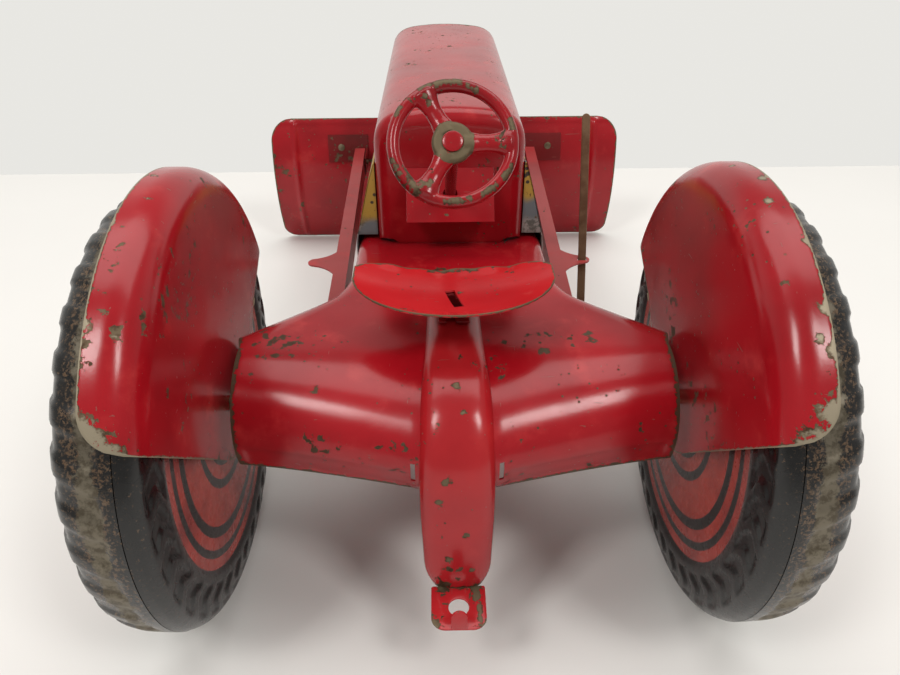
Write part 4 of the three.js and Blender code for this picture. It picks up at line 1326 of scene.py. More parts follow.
@dataclass
class Hood:
    """The hood with its rounded rear, the dash under the steering wheel, the grille and engine sides."""

    half: float = 34.0
    top: float = 170.5
    shoulder: float = 153.0
    rear: float = 88.0
    front: float = 284.0
    edge: float = 7.0
    foot: float = 108.3
    foot_round: float = 2.2
    side_rear: float = 93.0
    side_front: float = 264.0
    side_sheet: float = 0.5

    def outline(self) -> np.ndarray:
        """Draws the hood's section from the left foot over the top to the right foot.

        Returns:
            The section's points, as [x, z].
        """
        t = np.linspace(0, 1, 60)[:, None]
        a, b = np.array([self.half, self.shoulder]), np.array([self.half, 163.0])
        c, d = np.array([self.half - 5, self.top - 2.8]), np.array([self.half - 14, self.top - 1.4])
        curve = a * (1 - t) ** 3 + 3 * b * t * (1 - t) ** 2 + 3 * c * t ** 2 * (1 - t) + d * t ** 3
        middle = np.array([0.0, self.top + 1.4])
        left = d * [-1, 1]
        arch = d * (1 - t) ** 2 + 2 * middle * t * (1 - t) + left * t ** 2
        right = np.vstack([[[self.half, self.foot]], curve])
        whole = np.vstack([right, arch[1:-1], (right * [-1, 1])[::-1]])
        return spaced(whole[::-1], 97)

    def build_shell(self, shop: Paintshop) -> None:
        """Builds and dresses the hood itself.

        Args:
            shop: The finishes.
        """
        section = self.outline()
        along = np.gradient(section, axis=0)
        along /= np.linalg.norm(along, axis=1)[:, None]
        inward = np.stack([along[:, 1], -along[:, 0]], axis=1)
        rows = []
        for y in np.linspace(self.front, self.rear + self.edge, 70):
            rows.append(np.column_stack([section[:, 0], np.full(97, y), section[:, 1]]))
        for turn in np.linspace(0, math.pi / 2, 11)[1:]:
            inset = self.edge * (1 - math.cos(turn))
            ring = section + inward * inset
            y = self.rear + self.edge - self.edge * math.sin(turn)
            rows.append(np.column_stack([ring[:, 0], np.full(97, y), ring[:, 1]]))
        last = rows[-1]
        for part in (0.12, 0.3, 0.5, 0.7, 0.85, 1.0):
            shrunk = last.copy()
            shrunk[:, 0] = last[:, 0] * (1 - part)
            shrunk[:, 2] = last[:, 2] * (1 - part) + part * np.minimum(last[:, 2], 161.5)
            rows.append(shrunk)
        for row in rows[70:]:
            start = self.half - self.edge - self.foot_round
            out_to = np.clip(np.abs(row[:, 0]) - start, 0, self.foot_round)
            corner = self.foot_round - np.sqrt(self.foot_round ** 2 - out_to ** 2)
            drop = step(self.edge * 0.2, self.edge * 0.9, self.rear + self.edge - row[:, 1])
            row[:, 2] = np.maximum(row[:, 2], self.foot + corner * drop)
        table = np.stack(rows, axis=1)
        shell = pressed("hood_shape", table, (0.0, 180.0, 135.0))
        weld(shell, 0.05)
        rims = [rim for rim in rim_points(shell) if rim.y > (self.front - AXLE_BEHIND_ORIGIN - 2.0) * MM]
        thicken(shell)
        weld(shell, 0.01)
        up = -37.3
        lie = Matrix.Translation(place(0.0, 28.0, 176.0)) @ Matrix.Rotation(math.radians(up), 4, "X")
        lie = lie @ Matrix.Rotation(math.radians(-90), 4, "Z") @ Matrix.Diagonal((MM, MM, MM, 1.0))
        cutter = turned("column_way", [(-95, 0), (-95, 3.2), (-20, 3.2), (-20, 0)], 32, lie)
        pierced(shell, cutter)
        smooth(shell, 35)
        worn = [(-20.0, 270.0, 170.0, 3.5), (-12.0, 240.0, 171.0, 2.5), (26.0, 150.0, 168.0, 2.5),
                (-28.0, 120.0, 166.0, 3.0), (10.0, 200.0, 171.0, 2.0), (15.0, 282.0, 170.0, 4.0)]
        mark_wear(shell, rims, 1.8, worn)
        hand_over(shell, shop.enamel, Coat.RED, Body.CHASSIS, "hood")

    def build_engine_side(self, shop: Paintshop, side: str, sign: int) -> None:
        """Builds and dresses one printed engine side.

        Args:
            shop: The finishes.
            side: "right" or "left".
            sign: 1 on the right, -1 on the left.
        """
        inner, outer = self.half + 0.3, self.half + 10.3
        bend = faired([(outer + 0.6, 70), (outer + 0.6, 90), (outer + 0.6, 103), (outer + 0.1, 109),
                       (outer - 1.6, 116), (inner + 4.0, 134), (inner + 0.6, 145.2)], 33)
        rows = np.linspace(self.side_rear, self.side_front, 70)
        table = np.stack([np.column_stack([sign * bend[:, 0], np.full(33, y), bend[:, 1]]) for y in rows])
        panel = pressed(f"engine_panel_{side}_shape", table, (0.0, 180.0, 90.0))
        wall = bend[bend[:, 1] > self.foot + 0.4]
        reach = np.linspace(1.0, 0.0, 12)
        end = np.stack([np.stack([sign * (inner + (x - inner) * reach), np.full(12, self.side_rear),
                                  np.full(12, z)], axis=1) for x, z in wall])
        thicken(panel, self.side_sheet, 0.12)
        closed = pressed(f"engine_end_{side}", end, (0.0, 180.0, 120.0))
        thicken(closed, self.side_sheet, 0.12)
        gathered(panel.name, [panel, closed])
        smooth(panel, 40)
        mark_wear(panel, [], 2.0)
        hand_over(panel, shop.engine, Coat.ENGINE, Body.CHASSIS, f"engine_panel_{side}")

    def build(self, shop: Paintshop) -> None:
        """Builds and dresses the whole front body.

        Args:
            shop: The finishes.
        """
        self.build_shell(shop)
        for side, sign in SIDES:
            self.build_engine_side(shop, side, sign)
        for node, edge in (("dash_box", 0.45), ("radiator_grille", 0.3)):
            piece = carried_over(node, edge)
            smooth(piece, 35)
            flatten(piece)
            mark_wear(piece, [], 1.0)
            hand_over(piece, shop.enamel, Coat.RED, Body.CHASSIS, node)


# ---------------------------------------------------------------------------------------------------
# Fenders


@dataclass
class Fender:
    """A clamshell fender: a flat cheek turned over into a crown that follows the tyre."""

    inner: float = 87.3
    outer: float = 103.0
    radius: float = 90.0
    corner: float = 11.0
    front_angle: float = 20.5
    rear_angle: float = 150.6
    end_round: float = 12.0

    def foot_line(self, count: int) -> np.ndarray:
        """Draws the cheek's lower edge from its front corner to its rear one, as [y, z].

        Args:
            count: How many points to give.

        Returns:
            The edge's points.
        """
        turn = np.radians(np.linspace(318, 226, 30))
        hub = np.stack([22.3 * np.cos(turn), AXLE_Z + 22.3 * np.sin(turn)], axis=1)
        line = np.vstack([[[53, 98], [48.5, 93.6], [44, 90]], hub, [[-15.5, 67]]])
        return spaced(line, count)

    def table(self) -> np.ndarray:
        """Presses the fender, column by column round the tyre.

        Returns:
            The right fender's table of points.
        """
        even = np.linspace(0, 1, 121)
        u = even * 0.55 + (0.5 - 0.5 * np.cos(np.pi * even)) * 0.45
        foot = self.foot_line(400)
        foot_at = np.interp(u, np.linspace(0, 1, 400), np.arange(400)).astype(int)
        turn = np.linspace(math.pi / 2, math.pi, 24)
        bend = np.stack([self.inner + self.corner + self.corner * np.cos(turn),
                         self.radius - self.corner + self.corner * np.sin(turn)], axis=1)
        crown = np.stack([np.linspace(self.outer, bend[0, 0], 12)[:-1], np.full(11, self.radius)], axis=1)
        whole = np.vstack([crown, bend])
        columns = []
        for part, foot_index in zip(u, foot_at):
            swing = math.radians(self.rear_angle - self.front_angle) * self.radius
            near = min(part, 1 - part) * swing
            shy = max(self.end_round - near, 0.0)
            edge = self.outer - (self.end_round - math.sqrt(max(self.end_round ** 2 - shy ** 2, 0.0)))
            run = length_along(whole)
            cut_at = float(np.interp(self.outer - edge, run, run))
            at = np.linspace(cut_at, run[-1], 20)
            section = np.stack([np.interp(at, run, whole[:, k]) for k in range(2)], axis=1)
            lean = np.clip((self.radius - section[:, 1]) / self.corner, 0, 1)
            start = self.front_angle - 0.6 * lean
            end = self.rear_angle + 2.2 * lean
            angle = np.radians(start + (end - start) * part)
            points = np.column_stack([
                section[:, 0], section[:, 1] * np.cos(angle), AXLE_Z + section[:, 1] * np.sin(angle)])
            cheek = np.linspace(points[-1], [self.inner, *foot[foot_index]], 30)[1:]
            columns.append(np.vstack([points, cheek]))
        return np.stack(columns)

    def build(self, shop: Paintshop) -> None:
        """Builds and dresses both fenders.

        Args:
            shop: The finishes.
        """
        for side, sign in SIDES:
            table = self.table() * np.array([sign, 1.0, 1.0])
            piece = pressed(f"fender_{side}_shape", table, (sign * 100.0, 0.0, 100.0))
            rims = rim_points(piece)
            thicken(piece)
            pierced(piece, punch("round", (6.6, 6.6, 12.0), (sign * 88.0, 0.0, AXLE_Z), (0.0, 90.0, 0.0)))
            smooth(piece, 40)
            mark_wear(piece, rims, 1.3, self.worn(side))
            hand_over(piece, shop.scraped, Coat.RED, Body.CHASSIS, f"fender_{side}")

    def worn(self, side: str) -> list[Spot]:
        """Lists a fender's bare patches.

        Args:
            side: "right" or "left".

        Returns:
            The patches.
        """

        def crown(x: float, degrees: float, reach: float) -> Spot:
            """Puts a patch on the crown."""
            turn = math.radians(degrees)
            return (x, self.radius * math.cos(turn), AXLE_Z + self.radius * math.sin(turn), reach)

        if side == "left":
            spots = [crown(-94, 150.5, 10), crown(-100, 146, 9), crown(-98, 149, 11), crown(-102, 128, 4),
                     crown(-103, 105, 4), crown(-96, 96, 3), crown(-100, 84, 4), crown(-94, 130, 3),
                     crown(-98, 112, 2.5)]
            return spots + [(-87.3, -48.0, 128.0, 3.0), (-87.3, -40.0, 112.0, 2.0)]
        spots = [crown(95, 150.5, 10), crown(101, 145, 12), crown(99, 150, 12), crown(103, 134, 6),
                 crown(102, 126, 5),
                 crown(103, 112, 5), crown(97, 100, 4), crown(101, 90, 5), crown(93, 120, 4),
                 crown(99, 132, 4), crown(96, 80, 3), crown(90, 138, 3)]
        return spots + [(87.3, -30.0, 120.0, 2.5)]


# ---------------------------------------------------------------------------------------------------
# Wheels


@dataclass
class Wheel:
    """A wheel of two pressed halves with embossed lugs, about an axle along X."""

    name: str
    axle_y: float
    axle_z: float
    inner: tuple[tuple[float, float], ...]
    outer: tuple[tuple[float, float], ...]
    bore: float
    lugs: int
    lug_depth: float
    inner_lugs: tuple[float, float]
    outer_lugs: tuple[float, float]
    rows: int = 54
    steps_per_lug: int = 12
    sheet: float = 0.6

    def half(self, profile: Sequence[tuple[float, float]], window: tuple[float, float],
             outer: bool) -> np.ndarray:
        """Presses one half.

        Args:
            profile: [x, radius] knots from the disc's edge to the seam.
            window: The radii between which the lugs run.
            outer: True for the outer half, whose lugs also cross the tread.

        Returns:
            The table, round the wheel by along the profile.
        """
        rim = faired(profile, self.rows - 8)
        disc_x = profile[0][0]
        face = np.stack([np.full(9, disc_x), np.linspace(self.bore, profile[0][1], 9)], axis=1)
        line = np.vstack([face[:-1], rim])
        along = np.gradient(line, axis=0)
        along /= np.linalg.norm(along, axis=1)[:, None]
        out = np.stack([-along[:, 1], along[:, 0]], axis=1)
        if out[9:].sum(axis=0)[1] < 0:
            out = -out
        turns = np.linspace(0, 2 * math.pi, self.lugs * self.steps_per_lug + 1)
        low, high = window
        r = line[:, 1]
        seam = profile[-1][0]
        if outer:
            along_rim = np.abs(line[:, 0] - seam)
            strength = step(low, low + 3.0, r) * step(3.0, 6.5, along_rim)
            slant = 0.075 * along_rim + 0.9 * step(high, low, r)
        else:
            strength = step(low, low + 2.0, r) * step(high, high - 2.0, r)
            slant = 1.5 * step(low, (low + high) / 2, r) - 1.3 * step((low + high) / 2, high, r)
        wave = np.cos(turns[:, None] * self.lugs + slant[None, :] * 2)
        raised = step(np.array(-0.25), np.array(0.45), wave)
        sunk = -self.lug_depth * strength[None, :] * (1 - raised)
        x = line[None, :, 0] + sunk * out[None, :, 0]
        radius = line[None, :, 1] + sunk * out[None, :, 1]
        return np.stack([x, self.axle_y + radius * np.cos(turns)[:, None],
                         self.axle_z + radius * np.sin(turns)[:, None]], axis=2)

    def build(self, side: str, sign: int, body: Body, finish: bpy.types.Material,
              steel: bpy.types.Material) -> None:
        """Builds and dresses a wheel.

        Args:
            side: "right" or "left".
            sign: 1 on the right, -1 on the left.
            body: The body that it turns with.
            finish: The printed finish.
            steel: The hub's finish.
        """
        seam = self.inner[-1][0]
        halves = (("inner", self.inner, self.inner_lugs), ("outer", self.outer, self.outer_lugs))
        for part, profile, window in halves:
            table = self.half(profile, window, part == "outer") * np.array([sign, 1.0, 1.0])
            core = (sign * (seam + (3.0 if part == "inner" else -3.0)), self.axle_y, self.axle_z)
            piece = pressed(f"{self.name}_{side}_{part}_shape", table, core)
            weld(piece, 0.01)
            thicken(piece, self.sheet, 0.0)
            smooth(piece, 45)
            mark_wear(piece, [], 1.0)
            hand_over(piece, finish, Coat.TYRE, body, f"{self.name}_{side}_{part}")
        hub = carried_over(f"{self.name}_{side}_hub", 0.3, 50.0)
        smooth(hub)
        hand_over(hub, steel, Coat.STEEL, body, f"{self.name}_{side}_hub")


@dataclass
class RunningGear:
    """The four wheels, their axles, caps and the bolster."""

    rear: Wheel = field(default_factory=lambda: Wheel(
        "rear_wheel", 0.0, AXLE_Z,
        ((90.5, 62.0), (90.2, 63.2), (89.5, 65.0), (89.2, 68.5), (89.3, 72.5), (89.9, 76.2), (91.1, 79.3),
         (93.4, 81.6), (97.0, 83.0)),
        ((115.2, 61.0), (116.0, 62.3), (118.2, 64.5), (119.0, 68.0), (118.6, 72.5), (117.2, 76.6),
         (114.0, 80.3), (108.0, 82.4), (102.0, 82.9), (97.3, 83.0)),
        3.15, 34, 0.8, (66.5, 79.0), (66.0, 80.0)))
    front: Wheel = field(default_factory=lambda: Wheel(
        "front_wheel", FRONT_AXLE_Y, FRONT_AXLE_Z,
        ((17.5, 24.6), (17.2, 26.0), (15.3, 29.0), (15.2, 31.5), (17.2, 35.4), (19.6, 37.3), (22.35, 38.0)),
        ((27.5, 24.6), (27.8, 26.0), (29.7, 29.0), (29.8, 31.5), (27.8, 35.4), (25.4, 37.3), (22.65, 38.0)),
        2.35, 24, 0.7, (28.0, 36.5), (28.0, 36.0), 34, 8))

    def cap(self, node: str, x: float, axle: float, end: float, y: float, z: float, sign: int,
            shop: Paintshop) -> None:
        """Turns one axle cap.

        Args:
            node: The CAD node.
            x: Where the cap starts, along X.
            axle: The axle's radius.
            end: Where the axle ends.
            y: The axle's Y.
            z: The axle's height.
            sign: 1 on the right, -1 on the left.
            shop: The finishes.
        """
        wide = axle * 1.8
        profile = [(x, axle + 0.3), (x, wide - 0.4), (x + 0.4, wide), (end - 0.6, wide),
                   (end + 0.5, wide * 0.86), (end + 1.4, wide * 0.55), (end + 2, 0), (end + 0.3, 0),
                   (end + 0.3, axle + 0.3)]
        piece = turned(f"{node}_shape", profile, 32, along_x(y, z, 0.0, sign))
        face_out(piece)
        smooth(piece)
        hand_over(piece, shop.steel, Coat.STEEL, Body.CHASSIS, node)

    def rod(self, node: str, radius: float, shop: Paintshop) -> None:
        """Turns a plain rod in place of its CAD node.

        Args:
            node: The CAD node.
            radius: The rod's radius.
            shop: The finishes.
        """
        low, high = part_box(node)
        half = (high.x - low.x) / 2 / MM
        y = (low.y + high.y) / 2 / MM + AXLE_BEHIND_ORIGIN
        z = (low.z + high.z) / 2 / MM
        ease = 0.5
        profile = [(-half, 0), (-half, radius - ease), (-half + ease, radius), (half - ease, radius),
                   (half, radius - ease), (half, 0)]
        piece = turned(f"{node}_shape", profile, 32, along_x(y, z))
        smooth(piece)
        hand_over(piece, shop.steel, Coat.STEEL, Body.CHASSIS, node)

    def build(self, shop: Paintshop) -> None:
        """Builds and dresses the running gear.

        Args:
            shop: The finishes.
        """
        for side, sign in SIDES:
            rear_body = Body.REAR_RIGHT if sign > 0 else Body.REAR_LEFT
            front_body = Body.FRONT_RIGHT if sign > 0 else Body.FRONT_LEFT
            self.rear.build(side, sign, rear_body, shop.rear_tyre, shop.steel)
            self.front.build(side, sign, front_body, shop.front_tyre, shop.steel)
        self.rod("rear_axle", 3.0, shop)
        self.rod("front_axle", 2.2, shop)
        self.rod("arm_pivot_rod", 2.0, shop)
        for stem, axle in (("rear_axle_cap", 3.0), ("front_axle_cap", 2.2), ("arm_pivot_cap", 2.0)):
            for side, sign in SIDES:
                low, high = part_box(f"{stem}_{side}")
                near = min(abs(low.x), abs(high.x)) / MM
                far = max(abs(low.x), abs(high.x)) / MM
                y = (low.y + high.y) / 2 / MM + AXLE_BEHIND_ORIGIN
                z = (low.z + high.z) / 2 / MM
                self.cap(f"{stem}_{side}", near, axle, far - 2.0, y, z, sign, shop)
        bolster = carried_over("front_bolster", 0.3)
        smooth(bolster)
        flatten(bolster)
        mark_wear(bolster, [], 1.0)
        hand_over(bolster, shop.enamel, Coat.RED, Body.CHASSIS, "front_bolster")
        rivet = carried_over("bolster_rivet", 0.25)
        smooth(rivet)
        hand_over(rivet, shop.steel, Coat.STEEL, Body.CHASSIS, "bolster_rivet")


# ---------------------------------------------------------------------------------------------------
# Steering


@dataclass
class Steering:
    """The steering wheel with its three spokes and boss, the column and the rivet."""

    y: float = 28.0
    z: float = 176.0
    lean: float = 37.3
    radius: float = 21.15
    section: float = 2.4
    boss: float = 7.5
    voxel: float = 0.32
    spoke_profile: tuple[tuple[float, float], ...] = (
        (4.0, 0), (4.0, 4.2), (7.0, 3.9), (9.5, 3.3), (13.0, 3.2), (16.0, 3.7), (18.5, 4.7),
        (20.6, 5.2), (21.8, 3.6), (22.4, 0),
    )
    rim_runs: tuple[tuple[int, int, float, float], ...] = (
        (84, 106, 0.9, 3.6), (66, 78, -0.6, 2.6), (112, 122, 1.2, 2.8), (-36, -20, 1.0, 3.0),
        (-62, -44, 0.4, 2.6), (198, 214, 1.1, 2.8), (224, 240, -0.3, 3.0), (262, 290, 0.2, 2.6),
        (12, 22, 1.0, 2.4), (146, 158, 1.2, 2.4),
    )
    spoke_spots: tuple[tuple[int, float], ...] = (
        (0, 12.0), (0, 15.0), (120, 16.0), (120, 19.0), (240, 13.0), (240, 16.0), (240, 18.0),
    )

    def lie(self) -> Matrix:
        """Lays a piece drawn along +X, in millimetres, on the column's axis.

        Returns:
            The placing matrix.
        """
        stand = Matrix.Rotation(math.radians(-self.lean), 4, "X")
        stand = stand @ Matrix.Rotation(math.radians(-90), 4, "Z")
        return Matrix.Translation(place(0.0, self.y, self.z)) @ stand @ Matrix.Diagonal((MM, MM, MM, 1.0))

    def spoke(self, degrees: float) -> bpy.types.Object:
        """Makes one spoke, half round and swelling into the rim, in millimetres about +X.

        Args:
            degrees: The way that it points, about the column.

        Returns:
            The spoke.
        """
        spoke = turned("spoke_part", self.spoke_profile, 24, Matrix.Diagonal((1.0, 0.66, 1.0, 1.0)))
        out = Matrix.Rotation(math.radians(90), 4, "Z")
        spoke.data.transform(Matrix.Rotation(math.radians(degrees), 4, "X") @ out)
        return spoke

    def rubbed_spots(self) -> list[Spot]:
        """Lists the bare patches of the rim and the spokes.

        Returns:
            The patches.
        """
        lay = self.lie()
        spots = []

        def add(raised: float, far: float, degrees: float, reach: float) -> None:
            """Adds a patch.

            Args:
                raised: How far it lies above the wheel's middle plane.
                far: How far it lies from the column.
                degrees: The way that it lies, about the column.
                reach: Its radius.
            """
            turn = math.radians(degrees)
            spot = lay @ Vector((raised, far * math.cos(turn), far * math.sin(turn)))
            spots.append((spot.x / MM, spot.y / MM + AXLE_BEHIND_ORIGIN, spot.z / MM, reach))

        for start, end, off, reach in self.rim_runs:
            for degrees in range(start, end, 4):
                add(2.0, self.radius + off, degrees, reach)
        for degrees, far in self.spoke_spots:
            add(3.0, far, degrees, 2.6)
        return spots

    def build_wheel(self, shop: Paintshop) -> None:
        """Builds and dresses the wheel.

        Args:
            shop: The finishes.
        """
        bpy.ops.object.select_all(action="DESELECT")
        bpy.ops.mesh.primitive_torus_add(major_radius=self.radius, minor_radius=self.section,
                                         major_segments=120, minor_segments=24,
                                         rotation=(0.0, math.pi / 2, 0.0))
        rim = bpy.context.object
        bpy.ops.object.transform_apply(location=True, rotation=True, scale=True)
        boss_profile = [(-2.5, 0), (-2.5, 6), (0, self.boss), (1.4, self.boss), (2.2, 6.6), (2.2, 0)]
        boss = turned("boss_part", boss_profile, 48, Matrix.Identity(4))
        parts = [rim, boss] + [self.spoke(angle) for angle in (0.0, 120.0, 240.0)]
        wheel = gathered("steering_wheel_shape", parts)
        cast = wheel.modifiers.new("cast", "REMESH")
        cast.mode = "VOXEL"
        cast.voxel_size = self.voxel
        soften = wheel.modifiers.new("softened", "SMOOTH")
        soften.factor = 0.6
        soften.iterations = 6
        apply_modifiers(wheel)
        wheel.data.transform(self.lie())
        bore = turned("bore_cutter", [(-6, 0), (-6, 2.75), (6, 2.75), (6, 0)], 32, self.lie())
        pierced(wheel, bore)
        smooth(wheel, 60)
        rubbed = self.rubbed_spots()
        back = np.array(self.lie().inverted())

        def boss_wear(points: np.ndarray) -> np.ndarray:
            """Rubs the whole boss bare."""
            own = points @ back[:3, :3].T + back[:3, 3]
            return 0.9 * step(8.6, 7.2, np.hypot(own[:, 1], own[:, 2]))

        mark_wear(wheel, [], 1.0, rubbed, boss_wear)
        hand_over(wheel, shop.wheel_red, Coat.RED, Body.STEERING, "steering_wheel")

    def build(self, shop: Paintshop) -> None:
        """Builds and dresses the steering gear.

        Args:
            shop: The finishes.
        """
        self.build_wheel(shop)
        column = turned("steering_column_shape", [
            (-88, 0), (-88, 2.2), (-87.7, 2.5), (-84, 2.5), (-84, 4.2), (-83.8, 4.5), (-82.7, 4.5),
            (-82.5, 4.2), (-82.5, 2.5), (1.4, 2.5), (1.6, 2.3), (1.6, 0)], 32, self.lie())
        smooth(column)
        # The column is dark red as painted shade, for the shadow that it stands in.
        hand_over(column, shop.column_red, Coat.RED, Body.STEERING, "steering_column")
        rivet = turned("steering_rivet_shape", [(2.5, 0), (2.5, 3.6), (2.65, 3.75), (2.85, 3.7), (3.0, 3.4),
                                                (3.06, 2.0), (3.08, 0)], 40, self.lie())
        smooth(rivet)
        mark_wear(rivet, [], 1.0)
        hand_over(rivet, shop.wheel_red, Coat.RED, Body.STEERING, "steering_rivet")


# ---------------------------------------------------------------------------------------------------
# Blade and lift frame


@dataclass
class Blade:
    """The dozer blade: an arc with rounded corners and a bead near each end."""

    half: float = 131.0
    top: float = 98.0
    bottom: float = 0.5
    back: float = 312.0
    arc: float = 97.0
    middle: float = 51.25
    upper_round: float = 16.0
    lower_round: float = 10.0
    bead: float = 113.0
    bead_rise: float = 1.6
    sheet: float = 0.9

    def table(self) -> np.ndarray:
        """Presses the blade's rear face.

        Returns:
            The rear face's table of points.
        """
        even = np.linspace(0, 1, 75)
        v = even * 0.5 + (0.5 - 0.5 * np.cos(np.pi * even)) * 0.5
        z = self.bottom + (self.top - self.bottom) * v
        up = np.clip(self.upper_round - (self.top - z), 0, None)
        down = np.clip(self.lower_round - (z - self.bottom), 0, None)
        reach = self.half - (self.upper_round - np.sqrt(self.upper_round ** 2 - up ** 2))
        reach = reach - (self.lower_round - np.sqrt(self.lower_round ** 2 - down ** 2))
        w = np.concatenate([np.linspace(-1, -0.8, 34)[:-1], np.linspace(-0.8, 0.8, 60),
                            np.linspace(0.8, 1, 34)[1:]])
        x = w[:, None] * reach[None, :]
        y = self.back + self.arc * (1 - np.cos(np.arcsin((z - self.middle) / self.arc)))[None, :] + 0 * x
        ridge = np.exp(-(((np.abs(x) - self.bead) / 2.0) ** 2))
        ridge = ridge * step(0.0, 5.0, self.top - z) * step(0.0, 5.0, z)
        wing = np.clip(np.abs(x) - self.bead, 0, None) * 0.05
        lip = 0.8 * step(5.5, 2.5, self.top - z)[None, :]
        return np.stack([x, y - self.bead_rise * ridge + wing - lip * 0.5, z + 0 * x], axis=2)

    def build(self, shop: Paintshop) -> None:
        """Builds and dresses the blade.

        Args:
            shop: The finishes.
        """
        piece = pressed("blade_shape", self.table(), (0.0, 420.0, 50.0))
        rims = rim_points(piece)
        thicken(piece, self.sheet)
        smooth(piece, 40)
        worn = [(-122.0, 314.0, 60.0, 6.0), (-112.0, 313.0, 34.0, 4.0), (-128.0, 314.0, 45.0, 5.0),
                (124.0, 314.0, 60.0, 3.0), (-118.0, 318.0, 88.0, 4.0), (-60.0, 313.0, 60.0, 3.0),
                (64.0, 316.0, 84.0, 4.0), (-92.0, 313.0, 66.0, 3.0)]
        mark_wear(piece, rims, 2.2, worn)
        hand_over(piece, shop.enamel, Coat.RED, Body.LIFT, "blade")


@dataclass
class LiftFrame:
    """The lift arms, brackets, rivets and hand lever."""

    def build(self, shop: Paintshop) -> None:
        """Builds and dresses the frame.

        Args:
            shop: The finishes.
        """
        Blade().build(shop)
        for side, _ in SIDES:
            for stem, edge, finish, coat in (
                    # The arms take the matt red that is darkened as painted shade.
                    ("lift_arm", 0.35, shop.matte_red_with_painted_shade, Coat.RED),
                    # The blade brackets take the dark red that is partly painted shade.
                    ("blade_bracket", 0.3, shop.dark_red_with_painted_shade, Coat.RED),
                    ("blade_rivet", 0.3, shop.steel, Coat.STEEL),
                    ("arm_rivet", 0.3, shop.steel, Coat.STEEL)):
                node = f"{stem}_{side}"
                piece = carried_over(node, edge)
                smooth(piece, 35)
                flatten(piece)
                mark_wear(piece, [], 1.0)
                hand_over(piece, finish, coat, Body.LIFT, node)
        lever = carried_over("lift_lever", 0.3)
        smooth(lever, 35)
        flatten(lever)
        hand_over(lever, shop.lever, Coat.STEEL, Body.LIFT, "lift_lever")


# ---------------------------------------------------------------------------------------------------
# Studio


@dataclass
class Lamp:
    """A soft light panel that looks at the toy."""

    name: str
    at: Point
    aim: Point
    size: tuple[float, float]
    power: float
    colour: Point = (1.0, 0.985, 0.96)

    def hang(self) -> None:
        """Hangs the light."""
        light = bpy.data.lights.new(self.name, "AREA")
        light.shape = "RECTANGLE"
        light.size = self.size[0]
        light.size_y = self.size[1]
        light.energy = self.power
        light.color = self.colour
        lamp = bpy.data.objects.new(self.name, light)
        bpy.context.scene.collection.objects.link(lamp)
        lamp.location = self.at
        lamp.rotation_euler = (Vector(self.aim) - Vector(self.at)).to_track_quat("-Z", "Y").to_euler()


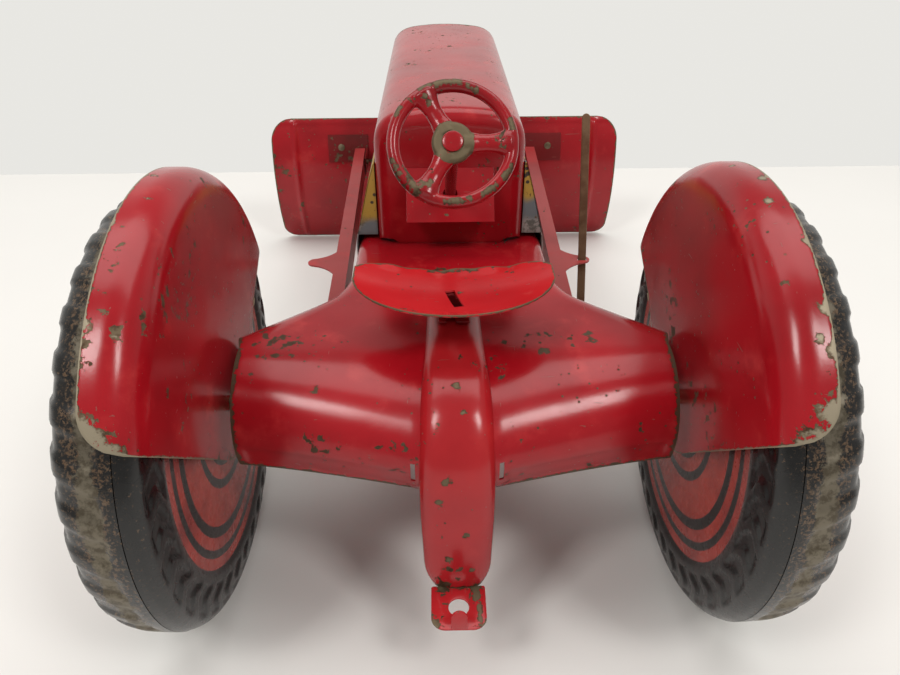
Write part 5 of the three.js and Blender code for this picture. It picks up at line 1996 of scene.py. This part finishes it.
@dataclass
class Studio:
    """The pale table, the soft light and the camera."""

    table_back: float = 0.353
    table_front: float = -1.6
    table_half: float = 1.6
    dim: Point = (0.34, 0.335, 0.32)
    pale: Point = (0.81, 0.80, 0.765)
    camera_at: Point = (-0.0053, -0.34699, 0.2602)
    pitch: float = 56.64
    yaw: float = -0.92
    roll: float = -0.25
    lens: float = 29.06
    lamps: tuple[Lamp, ...] = (
        Lamp("ceiling_left", (-0.80, -0.86, 1.45), (0.0, -0.05, 0.05), (0.34, 0.46), 8.6),
        Lamp("ceiling_right", (0.80, -0.90, 1.45), (0.0, -0.05, 0.05), (0.34, 0.46), 8.6),
        Lamp("ceiling_panel", (0.0, 0.38, 1.9), (0.0, 0.0, 0.05), (2.4, 1.2), 23.5),
    )

    def light_room(self, tree: bpy.types.NodeTree) -> None:
        """Makes the room pale behind the toy and dimmer elsewhere.

        Args:
            tree: The world's node tree.
        """
        direction = tree.nodes.new("ShaderNodeTexCoord").outputs["Generated"]
        split = tree.nodes.new("ShaderNodeSeparateXYZ")
        tree.links.new(direction, split.inputs[0])
        ahead, above = [tree.nodes.new("ShaderNodeMapRange") for _ in range(2)]
        for node, axis, low, high in ((ahead, "Y", -0.15, 0.55), (above, "Z", 0.35, 0.75)):
            node.interpolation_type = "SMOOTHSTEP"
            node.inputs["From Min"].default_value = low
            node.inputs["From Max"].default_value = high
            tree.links.new(split.outputs[axis], node.inputs["Value"])
        above.inputs["To Min"].default_value = 1.0
        above.inputs["To Max"].default_value = 0.0
        both = tree.nodes.new("ShaderNodeMath")
        both.operation = "MULTIPLY"
        tree.links.new(ahead.outputs[0], both.inputs[0])
        tree.links.new(above.outputs[0], both.inputs[1])
        shade = tree.nodes.new("ShaderNodeMix")
        shade.data_type = "RGBA"
        shade.inputs[6].default_value = rgba(self.dim)
        shade.inputs[7].default_value = rgba(self.pale)
        tree.links.new(both.outputs[0], shade.inputs[0])
        tree.links.new(shade.outputs[2], tree.nodes["Background"].inputs["Color"])

    def build(self) -> None:
        """Sets the table, hangs the lights and places the camera."""
        bpy.ops.object.select_all(action="DESELECT")
        bpy.ops.mesh.primitive_plane_add(size=1.0)
        table = call(bpy.context.object, "table_top")
        for vertex in table.data.vertices:
            y = self.table_back if vertex.co.y > 0 else self.table_front
            vertex.co = Vector((math.copysign(self.table_half, vertex.co.x), y, 0.0))
        drawn_out(table, (0.0, 0.0, -0.02))
        table.data.materials.append(PaleTable().make())
        for lamp in self.lamps:
            lamp.hang()
        world = bpy.data.worlds.new("pale_room")
        world.use_nodes = True
        self.light_room(world.node_tree)
        bpy.context.scene.world = world
        view = bpy.data.cameras.new("camera")
        view.lens = self.lens
        view.sensor_width = 36.0
        view.clip_start = 0.01
        camera = bpy.data.objects.new("camera", view)
        bpy.context.scene.collection.objects.link(camera)
        camera.location = self.camera_at
        turn = Matrix.Rotation(math.radians(self.yaw), 4, "Z")
        turn = turn @ Matrix.Rotation(math.radians(self.pitch), 4, "X")
        turn = turn @ Matrix.Rotation(math.radians(self.roll), 4, "Z")
        camera.rotation_euler = turn.to_euler()
        bpy.context.scene.camera = camera
        bpy.context.scene.view_settings.view_transform = "Standard"


def main() -> None:
    """Builds the tractor piece by piece."""
    logging.basicConfig(level=logging.INFO, format="%(name)s %(message)s")
    Studio().build()
    shop = Paintshop()
    housing = AxleHousing()
    housing.build(shop)
    Drawbar().build(shop, housing)
    Seat().build(shop)
    Hood().build(shop)
    Fender().build(shop)
    RunningGear().build(shop)
    Steering().build(shop)
    LiftFrame().build(shop)
    log.info("%d nodes in the frame", len(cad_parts))


if __name__ == "__main__":
    main()
